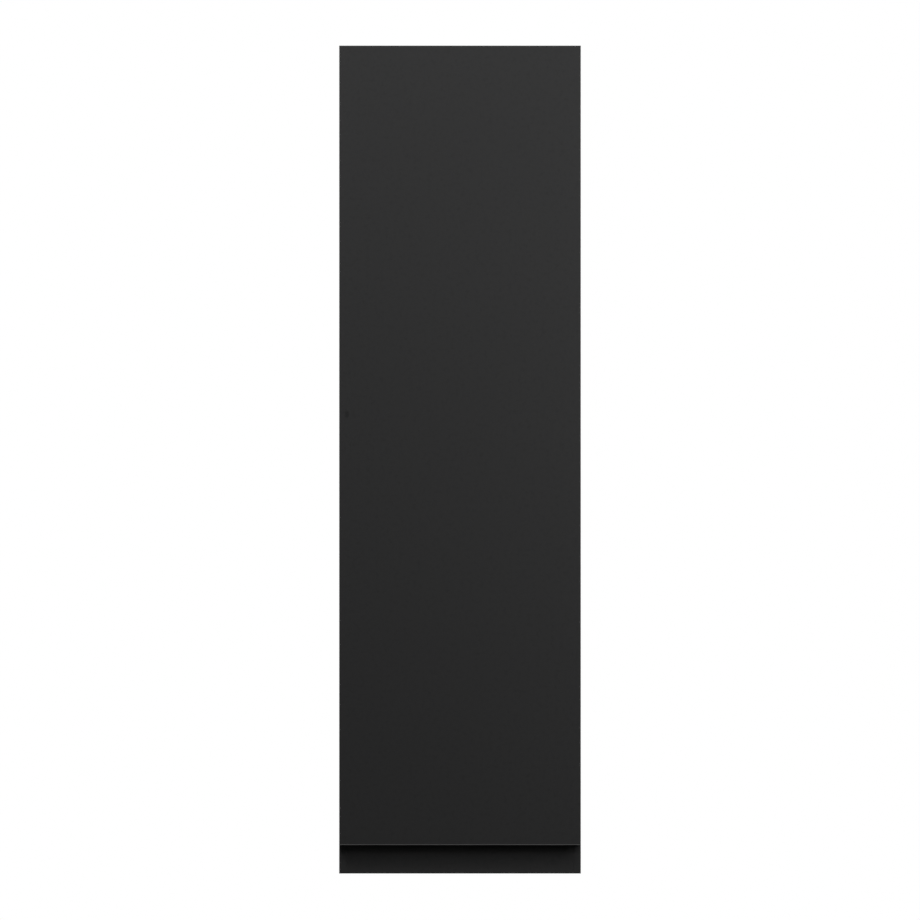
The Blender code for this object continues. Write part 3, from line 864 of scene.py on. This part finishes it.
# Hinges. Points are given as u from the outer right face inwards, v from the door's back
# into the cabinet, and w upwards from the hinge's middle.

hingeValues = {
    "cupWall": 0.0012,
    "cupRim": 0.0005,
    "cupFloor": 0.0010,
    "flangeTop": 0.0012,
    "flangeGap": 0.0003,
    "earReach": 0.0255,
    "earHalfWidth": 0.0060,
    "earU": 0.0270,
    "linkRadii": (0.0195, 0.0225),
    "linkArc": (5, 46),
    "eyeTurn": 5.5,           # degrees in from each end of the link
    "eyeRadius": 0.0019,
    "noseRadii": (0.0180, 0.0230),
    "armHalfWidth": 0.008,
    "armSheet": 0.0015,
    "armRear": 0.062,
    "armTop": 0.031,
    "armHeel": 0.0216,
    "plateSheet": 0.002,
    "seatHalfWidth": 0.0062,
    "seatTop": 0.0292,
    "cupScrew": 0.0213,       # screws above and below the hinge's middle
    "plateScrew": 0.016,
    "armScrews": (0.0235, 0.0465),
    "armSlot": (0.049, 0.0045, 0.0024),
    "rivetRadius": 0.0206,    # rivets, from the swing axis
    "rivetAngles": (40, 14),
}

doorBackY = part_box("door_panel")[1].y
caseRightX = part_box("side_right")[1].x
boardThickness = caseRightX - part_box("side_right")[0].x
doorJoint = next(joint for joint in frame["joints"] if joint["name"] == "door_swing")
swingAxis = Vector(doorJoint["pos_m"])


def hingePoint(u, v, w, z):
    return Vector((caseRightX - u, doorBackY + v, z + w))


def hingeHeight(number):
    low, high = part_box(f"hinge_cup_{number}")
    return (low.z + high.z) / 2


def arcAboutSwing(radius, start, end, steps, z):
    points = []
    for step in range(steps + 1):
        angle = math.radians(start + (end - start) * step / steps)
        offset = Vector((-radius * math.cos(angle), radius * math.sin(angle), 0))
        points.append(Vector((swingAxis.x, swingAxis.y, z)) + offset)
    return points


def capsule(centre, first, second, halfLength, radius, steps=10):
    # the outline of a slot with round ends, in the plane of the two given directions
    points = []
    for end in (1, -1):
        for step in range(steps + 1):
            angle = math.pi * step / steps + (0 if end > 0 else math.pi)
            along = end * halfLength + radius * math.sin(angle)
            across = radius * math.cos(angle)
            points.append(centre + first * along + second * across)
    return points


def makeCup(number):
    values = hingeValues
    z = hingeHeight(number)
    low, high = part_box(f"hinge_cup_{number}")
    radius = (high.x - low.x) / 2
    cupU = caseRightX - (low.x + high.x) / 2
    depth = doorBackY - low.y
    rim = values["cupRim"]
    inside = radius - values["cupWall"]
    centre = hingePoint(cupU, 0, 0, z)
    profile = [(0, -depth), (radius - 0.0012, -depth), (radius - 0.0004, -depth + 0.0004),
               (radius, -depth + 0.0012), (radius, rim - 0.0002), (radius - 0.0002, rim),
               (inside, rim), (inside, -depth + 0.0022),
               (inside - 0.0004, -depth + 0.0014), (inside - 0.0012, -depth + values["cupFloor"]),
               (0, -depth + values["cupFloor"])]
    flange = bmesh.new()
    lift = hingePoint(values["earU"], values["flangeGap"], 0, z)
    halfLength = values["earReach"] - values["earHalfWidth"]
    addSlab(flange, capsule(lift, zWay, xWay, halfLength, values["earHalfWidth"]),
            yWay * (values["flangeTop"] - values["flangeGap"]))
    middleV = (values["flangeTop"] + values["flangeGap"]) / 2
    carveWith(flange, addRod, hingePoint(cupU, middleV, 0, z), yWay, radius + 0.0003,
              values["flangeTop"] - values["flangeGap"], 64, operation="UNION")
    carveWith(flange, addTurned, profile, centre, yWay, 64, operation="UNION")
    carveWith(flange, addRod, hingePoint(cupU, 0.004, 0, z), yWay, inside, 0.010, 64)
    roundSharp(flange, 0.00025, 2, 55)
    makePiece(f"hingeCup_{number}", flange, "door", [nickel],
              [f"hinge_cup_{number}"])
    heads = [hingePoint(values["earU"], values["flangeTop"] + hairline, side * values["cupScrew"], z)
             for side in (-1, 1)]
    makeScrews(f"hingeCupScrews_{number}", "door", heads, "flatHead", yWay)


def makeLinks(number):
    values = hingeValues
    z = hingeHeight(number)
    for name, body in (("outer", "hinge_outer_links"), ("inner", "hinge_inner_links")):
        node = f"hinge_{name}_link_{number}"
        low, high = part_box(node)
        inner, outer = values["linkRadii"]
        start, end = values["linkArc"]
        bm = bmesh.new()
        outline = (arcAboutSwing(outer, start, end, 20, low.z)
                   + arcAboutSwing(inner, end, start, 20, low.z))
        addSlab(bm, outline, zWay * (high.z - low.z))
        # rolled eyes at both ends of the bar
        middleRadius = (inner + outer) / 2
        for angle in (start + values["eyeTurn"], end - values["eyeTurn"]):
            place = arcAboutSwing(middleRadius, angle, angle, 1, (low.z + high.z) / 2)[0]
            carveWith(bm, addRod, place, zWay, values["eyeRadius"], high.z - low.z + 0.0006, 28,
                      operation="UNION")
        roundSharp(bm, 0.00025, 2, 55)
        makePiece(f"hinge{name.capitalize()}Link_{number}", bm, body,
                  [nickel], [node])


def makeArm(number):
    values = hingeValues
    z = hingeHeight(number)
    half = values["armHalfWidth"]
    lowRadius, highRadius = values["noseRadii"]
    outline = (arcAboutSwing(highRadius, 38, 5, 12, z - half)
               + arcAboutSwing(lowRadius, 5, 46, 14, z - half))
    sideU = boardThickness + 0.0008
    corners = [(sideU, 0.004), (sideU + 0.0008, 0.009), (values["armHeel"], 0.012),
               (values["armHeel"], values["armRear"] - 0.002),
               (values["armHeel"] + 0.001, values["armRear"]),
               (values["armTop"] - 0.002, values["armRear"]),
               (values["armTop"], values["armRear"] - 0.004), (values["armTop"], 0.009),
               (values["armTop"] - 0.0012, 0.0045)]
    outline += [hingePoint(u, v, -half, z) for u, v in corners]
    bm = bmesh.new()
    addSlab(bm, outline, zWay * 2 * half)
    inside = half - values["armSheet"]
    webU = values["armTop"] - values["armSheet"]
    carveWith(bm, addBlock, hingePoint(webU, -0.03, -inside, z), hingePoint(-0.01, 0.10, inside, z))
    slotV, slotHalf, slotRadius = values["armSlot"]
    middle = hingePoint(values["armTop"], slotV, 0, z)
    slot = [point - xWay * 0.004 for point in capsule(middle, yWay, zWay, slotHalf, slotRadius)]
    carveWith(bm, addSlab, slot, xWay * 0.0065)
    roundSharp(bm, 0.0003, 2, 55)
    makePiece(f"hingeArm_{number}", bm, "carcass", [nickel],
              [f"hinge_arm_{number}"])
    # rivets that close the nose, and the two adjusting screws
    rivets = bmesh.new()
    for side in (-1, 1):
        for angle in values["rivetAngles"]:
            place = arcAboutSwing(values["rivetRadius"], angle, angle, 1, z + side * half)[0]
            addTurned(rivets, [(0, 0.0005), (0.0010, 0.0004), (0.0014, hairline), (0, hairline)],
                      place, zWay * side, 20)
    makePiece(f"hingeRivets_{number}", rivets, "carcass", [zinc], flat=False)
    heads = [hingePoint(values["armTop"] + hairline, v, 0, z) for v in values["armScrews"]]
    makeScrews(f"hingeArmScrews_{number}", "carcass", heads, "plateHead",
               -xWay)


def makePlate(number):
    values = hingeValues
    z = hingeHeight(number)
    low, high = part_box(f"hinge_plate_{number}")
    bm = bmesh.new()
    base = Vector((high.x, (low.y + high.y) / 2, z))
    halfWidth = (high.y - low.y) / 4
    halfLength = (high.z - low.z) / 2 - halfWidth
    addSlab(bm, capsule(base, zWay, yWay, halfLength, halfWidth), -xWay * values["plateSheet"])
    seat = bmesh.new()
    half = values["seatHalfWidth"]
    verts = addBlock(seat, (caseRightX - values["seatTop"], low.y, z - half),
                     (high.x - 0.0004, high.y, z + half))
    roundEdges(seat, verts, 0.0006, 2)
    carve(bm, seat, "UNION")
    roundSharp(bm, 0.00025, 2, 55)
    makePiece(f"hingePlate_{number}", bm, "carcass", [nickel],
              [f"hinge_plate_{number}"])
    surface = high.x - values["plateSheet"] - hairline
    heads = [(surface, base.y, z + side * values["plateScrew"]) for side in (-1, 1)]
    makeScrews(f"hingePlateScrews_{number}", "carcass", heads, "panHead",
               -xWay)


for number in range(1, 5):
    makeCup(number)
    makeLinks(number)
    makeArm(number)
    makePlate(number)
print("hinges ready")


# Inside fittings

railValues = {"wall": 0.0012, "base": 0.0020, "ear": 0.0135, "screw": 0.0235}


def makeRail():
    low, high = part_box("hanging_rail")
    middle = (low + high) / 2
    half = (high.y - low.y) / 2
    straight = (high.z - low.z) / 2 - half
    start = Vector((low.x, middle.y, middle.z))
    bm = bmesh.new()
    addTube(bm, capsule(start, zWay, yWay, straight, half, 20),
            capsule(start, zWay, yWay, straight, half - railValues["wall"], 20),
            xWay * (high.x - low.x))
    makePiece("hangingRailTube", bm, "carcass", [rail], ["hanging_rail"])
    for side, sign in (("left", -1), ("right", 1)):
        socketLow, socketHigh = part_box(f"rail_socket_{side}")
        wallX = socketHigh.x if sign > 0 else socketLow.x
        reach = socketHigh.x - socketLow.x
        socket = bmesh.new()
        outer = (socketHigh.y - socketLow.y) / 2
        wall = Vector((wallX, middle.y, middle.z))
        addSlab(socket, capsule(wall, zWay, yWay, straight + railValues["ear"], outer * 0.8, 20),
                -xWay * sign * railValues["base"])
        lifted = wall - xWay * sign * 0.0005
        carveWith(socket, addSlab, capsule(lifted, zWay, yWay, straight, outer, 20),
                  -xWay * sign * (reach - 0.0005), operation="UNION")
        floor = wall - xWay * sign * railValues["base"]
        carveWith(socket, addSlab, capsule(floor, zWay, yWay, straight, half + 0.0003, 20),
                  -xWay * sign * 0.02)
        roundSharp(socket, 0.0005, 3, 55)
        makePiece(f"railSocket_{side}", socket, "carcass", [zinc],
                  [f"rail_socket_{side}"])
        face = wallX - sign * (railValues["base"] + hairline)
        heads = [(face, middle.y, middle.z + way * railValues["screw"]) for way in (-1, 1)]
        makeScrews(f"railScrews_{side}", "carcass", heads, "smallHead",
                   -xWay * sign)


def makePins():
    for shelf in ("lower_shelf", "hat_shelf"):
        for side, sign in (("left", -1), ("right", 1)):
            for place in ("front", "rear"):
                node = f"{shelf}_pin_{side}_{place}"
                low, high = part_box(node)
                middle = (low + high) / 2
                start = high.x if sign > 0 else low.x
                length = high.x - low.x
                head = (high.z - low.z) / 2
                profile = [(0, 0), (0.0019, 0), (0.0025, 0.0006), (0.0025, 0.0098),
                           (head - 0.0003, 0.0103), (head, 0.0106), (head, 0.0121),
                           (head * 0.8, 0.0124), (head * 0.8, 0.0132), (head, 0.0135),
                           (head, length - 0.0007), (head - 0.0007, length), (0, length)]
                bm = bmesh.new()
                addTurned(bm, profile, (start, middle.y, middle.z), -xWay * sign, 24)
                makePiece(f"shelfPin_{shelf}_{side}_{place}", bm, "carcass",
                          [zinc], [node])


latchValues = {"edge": 0.0016, "screwInset": 0.010, "screwSide": 0.0058, "tipLength": 0.0045,
               "gripRibs": 9, "gripPitch": 0.003, "strikeScrew": 0.0105}


def makeLatch():
    low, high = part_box("latch_housing")
    plungerLow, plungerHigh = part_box("latch_plunger")
    axis = (plungerLow + plungerHigh) / 2
    radius = (plungerHigh.x - plungerLow.x) / 2
    bm = bmesh.new()
    verts = addBlock(bm, low, high)
    roundEdges(bm, verts, latchValues["edge"], 4)
    carveWith(bm, addRod, (axis.x, low.y, axis.z), yWay, radius + 0.0003,
              2 * (plungerHigh.y + 0.002 - low.y), 48)
    # shallow pockets for the two fixing screws, and grip ribs between them
    pockets = bmesh.new()
    screwPlaces = []
    for y in (low.y + latchValues["screwInset"], high.y - latchValues["screwInset"]):
        for side in (-1, 1):
            z = axis.z + side * latchValues["screwSide"]
            screwPlaces.append((high.x - 0.0012, y, z))
            addRod(pockets, (high.x, y, z), xWay, 0.0026, 0.0024, 24)
    for step in range(latchValues["gripRibs"]):
        y = (low.y + high.y) / 2 + (step - latchValues["gripRibs"] // 2) * latchValues["gripPitch"]
        addBlock(pockets, (high.x - 0.0005, y - 0.0006, low.z + 0.003),
                 (high.x + 0.001, y + 0.0006, high.z - 0.003))
    carve(bm, pockets)
    makePiece("latchHousing", bm, "carcass", [greyPlastic], ["latch_housing"])
    heads = [Vector(place) + xWay * hairline for place in screwPlaces]
    makeScrews("latchScrews", "carcass", heads, "smallHead", xWay)
    length = plungerHigh.y - plungerLow.y
    tip = latchValues["tipLength"]
    profile = [(0, 0), (radius - 0.0012, 0), (radius - 0.0004, 0.0004), (radius - 0.0001, 0.0012),
               (radius - 0.0001, tip), (radius - 0.0006, tip + 0.0002), (radius - 0.0006, tip + 0.0008),
               (radius, tip + 0.0010), (radius, length - 0.0006), (radius - 0.0006, length), (0, length)]
    rod = bmesh.new()
    addTurned(rod, profile, (axis.x, plungerLow.y, axis.z), yWay, 48)

    def pick(middle, normal):
        return 1 if middle.y < plungerLow.y + tip else 0

    makePiece("latchPlungerRod", rod, "latch_plunger", [blackPlastic, rubber],
              ["latch_plunger"], pick)
    strikeLow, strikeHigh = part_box("latch_strike")
    plate = bmesh.new()
    strikeMiddle = (strikeLow + strikeHigh) / 2
    halfWidth = (strikeHigh.x - strikeLow.x) / 2
    base = Vector((strikeMiddle.x, strikeLow.y, strikeMiddle.z))
    halfLength = (strikeHigh.z - strikeLow.z) / 2 - halfWidth
    addSlab(plate, capsule(base, zWay, xWay, halfLength, halfWidth, 14),
            yWay * (strikeHigh.y - strikeLow.y))
    roundSharp(plate, 0.0002, 2, 55)
    makePiece("latchStrikePlate", plate, "door", [zinc], ["latch_strike"])
    heads = [(strikeMiddle.x, strikeHigh.y + hairline,
              strikeMiddle.z + way * latchValues["strikeScrew"]) for way in (-1, 1)]
    makeScrews("latchStrikeScrews", "door", heads, "smallHead", yWay)


makeRail()
makePins()
makeLatch()
print("inside fittings ready")


# Base fittings

levellerValues = {"ribs": 6, "ribThickness": 0.002, "threadPitch": 0.0015, "threadDepth": 0.0005,
                  "bore": 0.0053, "tube": 0.0130, "stem": 0.0050}


def makeLeveller(number):
    low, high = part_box(f"leveller_housing_{number}")
    middle = (low + high) / 2
    flange = (high.x - low.x) / 2
    bore = levellerValues["bore"]
    tube = levellerValues["tube"]
    body = bmesh.new()
    profile = [(bore, high.z), (flange - 0.0005, high.z), (flange, high.z - 0.0005),
               (flange, high.z - 0.0025), (flange - 0.0005, high.z - 0.003),
               (0.0160, high.z - 0.003), (0.0140, low.z + 0.001), (tube, low.z), (bore, low.z)]
    addTurned(body, profile, (middle.x, middle.y, 0), zWay, 48, closed=True)
    for step in range(levellerValues["ribs"]):
        turn = Matrix.Rotation(2 * math.pi * step / levellerValues["ribs"], 4, "Z")
        rib = bmesh.new()
        half = levellerValues["ribThickness"] / 2
        corners = [(tube, low.z + 0.006), (0.0150, low.z + 0.006), (flange - 0.003, high.z - 0.0045),
                   (flange - 0.003, high.z - 0.0028), (tube, high.z - 0.0028)]
        addSlab(rib, [Vector((x, -half, z)) for x, z in corners], yWay * 2 * half)
        bmesh.ops.transform(rib, matrix=Matrix.Translation((middle.x, middle.y, 0)) @ turn,
                            verts=rib.verts)
        carve(body, rib, "UNION")
    makePiece(f"levellerHousing_{number}", body, "carcass", [blackPlastic],
              [f"leveller_housing_{number}"])
    footLow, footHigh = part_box(f"leveller_foot_{number}")
    radius = (footHigh.x - footLow.x) / 2
    thick = levellerValues["stem"]
    stem = [(0, footHigh.z), (0.0040, footHigh.z), (thick, footHigh.z - 0.001)]
    along = footHigh.z - 0.002
    while along > 0.016:
        stem += [(thick, along), (thick - levellerValues["threadDepth"], along - 0.0006),
                 (thick, along - 0.0012)]
        along -= levellerValues["threadPitch"]
    stem += [(thick, 0.0125), (0.0062, 0.0115), (0.0135, 0.0092), (radius - 0.0008, 0.0060),
             (radius, 0.0050), (radius, footLow.z + 0.0012), (radius - 0.0008, footLow.z),
             (0, footLow.z)]
    foot = bmesh.new()
    addTurned(foot, stem, (middle.x, middle.y, 0), zWay, 48)
    makePiece(f"levellerFoot_{number}", foot, f"foot_{number}", [blackPlastic],
              [f"leveller_foot_{number}"])
    capLow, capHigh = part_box(f"leveller_cap_{number}")
    head = (capHigh.x - capLow.x) / 2
    cap = bmesh.new()
    profile = [(0, capHigh.z), (head * 0.6, capHigh.z - 0.0001), (head * 0.88, capHigh.z - 0.0005),
               (head, capHigh.z - 0.0012), (head, capHigh.z - 0.0015), (0.0055, capHigh.z - 0.0015),
               (0.0055, capLow.z + 0.0006), (0.0049, capLow.z), (0, capLow.z)]
    addTurned(cap, profile, (middle.x, middle.y, 0), zWay, 40)
    carveWith(cap, addBlock, (middle.x - head * 1.2, middle.y - 0.0012, capHigh.z - 0.0022),
              (middle.x - head * 0.82, middle.y + 0.0012, capHigh.z + 0.001))
    makePiece(f"levellerCap_{number}", cap, "carcass", [greyPlastic],
              [f"leveller_cap_{number}"])


for number in range(1, 5):
    makeLeveller(number)


camValues = {"radius": 0.0085, "height": 0.0014, "inset": 0.034, "lowerDepth": 0.55}


def makeCamCovers():
    # caps over the cam fittings that pull the level boards to the sides
    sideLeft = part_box("side_left")[1].x
    rows = rowDepths()
    for name, node in (("top", "top_panel"), ("bottom", "bottom_panel")):
        low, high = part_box(node)
        bm = bmesh.new()
        for sign in (-1, 1):
            for y in rows:
                x = sign * (abs(sideLeft) - camValues["inset"])
                if name == "bottom":
                    y = y * camValues["lowerDepth"]
                radius = camValues["radius"]
                height = camValues["height"]
                profile = [(0, height), (radius * 0.7, height * 0.95), (radius * 0.93, height * 0.65),
                           (radius, height * 0.2), (radius, hairline), (0, hairline)]
                addTurned(bm, profile, (x, y, low.z), -zWay, 40)
        makePiece(f"camCovers_{name}", bm, "carcass", [greyPlastic], flat=False)


bracketValues = {"sheet": 0.002, "bend": 0.0022, "slotRadius": 0.0035, "slotHalf": 0.006,
                 "slotRise": 0.021, "screwRise": 0.028}


def makeBrackets():
    for side, sign in (("left", -1), ("right", 1)):
        node = f"wall_bracket_{side}"
        low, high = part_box(node)
        sheet = bracketValues["sheet"]
        corner = high.x if sign > 0 else low.x
        reach = low.x if sign > 0 else high.x
        z = low.z
        flatOutline = [(corner, low.y), (corner, high.y), (reach, high.y), (reach, high.y - sheet),
                       (corner - sign * sheet, high.y - sheet), (corner - sign * sheet, low.y)]
        bm = bmesh.new()
        verts = addSlab(bm, [Vector((x, y, z)) for x, y in flatOutline], zWay * (high.z - low.z))

        def isBend(edge, corner=corner, top=high.y):
            middle = (edge.verts[0].co + edge.verts[1].co) / 2
            nearCorner = abs(middle.x - corner) < 0.0001 and abs(middle.y - top) < 0.0001
            return nearCorner and alongAxis(edge, 2)

        roundEdges(bm, verts, bracketValues["bend"], 6, isBend)
        slots = bmesh.new()
        centreX = (corner + reach) / 2
        for way in (-1, 1):
            rise = way * bracketValues["slotRise"]
            place = Vector((centreX, high.y - 0.004, (low.z + high.z) / 2 + rise))
            addSlab(slots, capsule(place, zWay, xWay, bracketValues["slotHalf"],
                                   bracketValues["slotRadius"]), yWay * 0.008)
        carve(bm, slots)
        roundSharp(bm, 0.0002, 1, 55)
        makePiece(f"wallBracket_{side}", bm, "carcass", [zinc], [node])
        face = corner - sign * (sheet + hairline)
        y = (low.y + high.y) / 2 - 0.001
        rise = bracketValues["screwRise"]
        heads = [(face, y, (low.z + high.z) / 2 + way * rise) for way in (-1, 1)]
        makeScrews(f"wallBracketScrews_{side}", "carcass", heads, "panHead",
                   -xWay * sign)


makeCamCovers()
makeBrackets()
print("base and wall fittings ready")


# Studio

studioValues = {
    # place, width and height, turn about Z from facing +Y, tilt downwards (radians), power
    "highRight": ((1.9, -2.6, 5.2), (1.6, 1.6), -0.55, 0.75, 74.0),
    "highLeft": ((-1.828, -1.719, 4.261), (0.9, 0.9), 0.159, 0.45, 92.0),
    "sideRight": ((2.605, -1.318, 1.485), (0.839, 2.622), -1.187, 0.63, 65.0),
    "frontSoft": ((0.8, -4.2, 3.9), (2.4, 1.6), -0.18, 0.55, 40.0),
    "leftRim": ((-3.2, 0.9, 1.7), (1.8, 2.6), 1.833, 0.12, 80.0),
    "rearRim": ((1.2, 3.4, 2.2), (2.4, 2.4), 3.438, 0.25, 120.0),
    "ambient": 0.04,
    "surround": 0.16,
    "floorGlow": 0.60,
    "floorSheen": 0.50,
    "floorSize": 60.0,
    "viewScale": 2.28473,
    "viewCentre": 1.02692,
}


def makeLight(name, place, size, turn, tilt, power):
    lamp = bpy.data.lights.new(name, "AREA")
    lamp.shape = "RECTANGLE"
    lamp.size = size[0]
    lamp.size_y = size[1]
    lamp.energy = power
    item = bpy.data.objects.new(name, lamp)
    bpy.context.scene.collection.objects.link(item)
    facing = Vector((math.cos(tilt) * math.sin(turn), math.cos(tilt) * math.cos(turn),
                     -math.sin(tilt)))
    across = Vector((math.cos(turn), -math.sin(turn), 0))
    upward = across.cross(facing)
    columns = Matrix((across, upward, -facing)).transposed()
    item.matrix_world = Matrix.Translation(place) @ columns.to_4x4()
    return item


def chooseForCamera(tree, path, others, seen, output):
    mix = tree.nodes.new("ShaderNodeMixShader")
    tree.links.new(path.outputs["Is Camera Ray"], mix.inputs[0])
    tree.links.new(others.outputs[0], mix.inputs[1])
    tree.links.new(seen.outputs[0], mix.inputs[2])
    tree.links.new(mix.outputs[0], tree.nodes[output].inputs[0])


def makeStudio():
    values = studioValues
    for name in ("highRight", "highLeft", "sideRight", "frontSoft", "leftRim", "rearRim"):
        makeLight(name, *values[name])
    bm = bmesh.new()
    bmesh.ops.create_grid(bm, x_segments=4, y_segments=4, size=values["floorSize"] / 2)
    mesh = bpy.data.meshes.new("studioFloor")
    bm.to_mesh(mesh)
    bm.free()
    floor = bpy.data.objects.new("studioFloor", mesh)
    floor.location.z = -0.0001
    bpy.context.scene.collection.objects.link(floor)
    material, tree, shader, unused = startMaterial("studioFloor", 0.7)
    shader.inputs["Base Color"].default_value = (0.30, 0.30, 0.30, 1.0)
    shader.inputs["Emission Color"].default_value = (1.0, 1.0, 1.0, 1.0)
    shader.inputs["Emission Strength"].default_value = values["floorGlow"]
    # the camera sees a pale floor; the object only gets a soft sheen from it, so its
    # recessed base stays dark
    path = tree.nodes.new("ShaderNodeLightPath")
    sheen = tree.nodes.new("ShaderNodeEmission")
    strength = mathNode(tree, "MULTIPLY", path.outputs["Is Glossy Ray"], values["floorSheen"])
    tree.links.new(strength, sheen.inputs["Strength"])
    chooseForCamera(tree, path, sheen, shader, "Material Output")
    mesh.materials.append(material)
    world = bpy.data.worlds.new("studioWorld")
    world.use_nodes = True
    tree = world.node_tree
    soft = tree.nodes["Background"]
    soft.inputs[0].default_value = (1.0, 1.0, 1.0, 1.0)
    white = tree.nodes.new("ShaderNodeBackground")
    white.inputs[0].default_value = (1.0, 1.0, 1.0, 1.0)
    white.inputs[1].default_value = 1.0
    # even soft light, a brighter surround for metal to reflect, and white for the camera
    path = tree.nodes.new("ShaderNodeLightPath")
    mirrored = mathNode(tree, "MULTIPLY", path.outputs["Is Glossy Ray"], values["surround"])
    strength = mathNode(tree, "ADD", mirrored, values["ambient"])
    tree.links.new(strength, soft.inputs[1])
    chooseForCamera(tree, path, soft, white, "World Output")
    bpy.context.scene.world = world
    lens = bpy.data.cameras.new("studioCamera")
    lens.type = "ORTHO"
    lens.ortho_scale = values["viewScale"]
    lens.clip_end = 200.0
    camera = bpy.data.objects.new("studioCamera", lens)
    camera.location = (0, -6, values["viewCentre"])
    camera.rotation_euler = (math.radians(90), 0, 0)
    bpy.context.scene.collection.objects.link(camera)
    bpy.context.scene.camera = camera
    bpy.context.scene.view_settings.view_transform = "Standard"
    bpy.context.scene.view_settings.look = "None"


makeStudio()
print("studio ready")
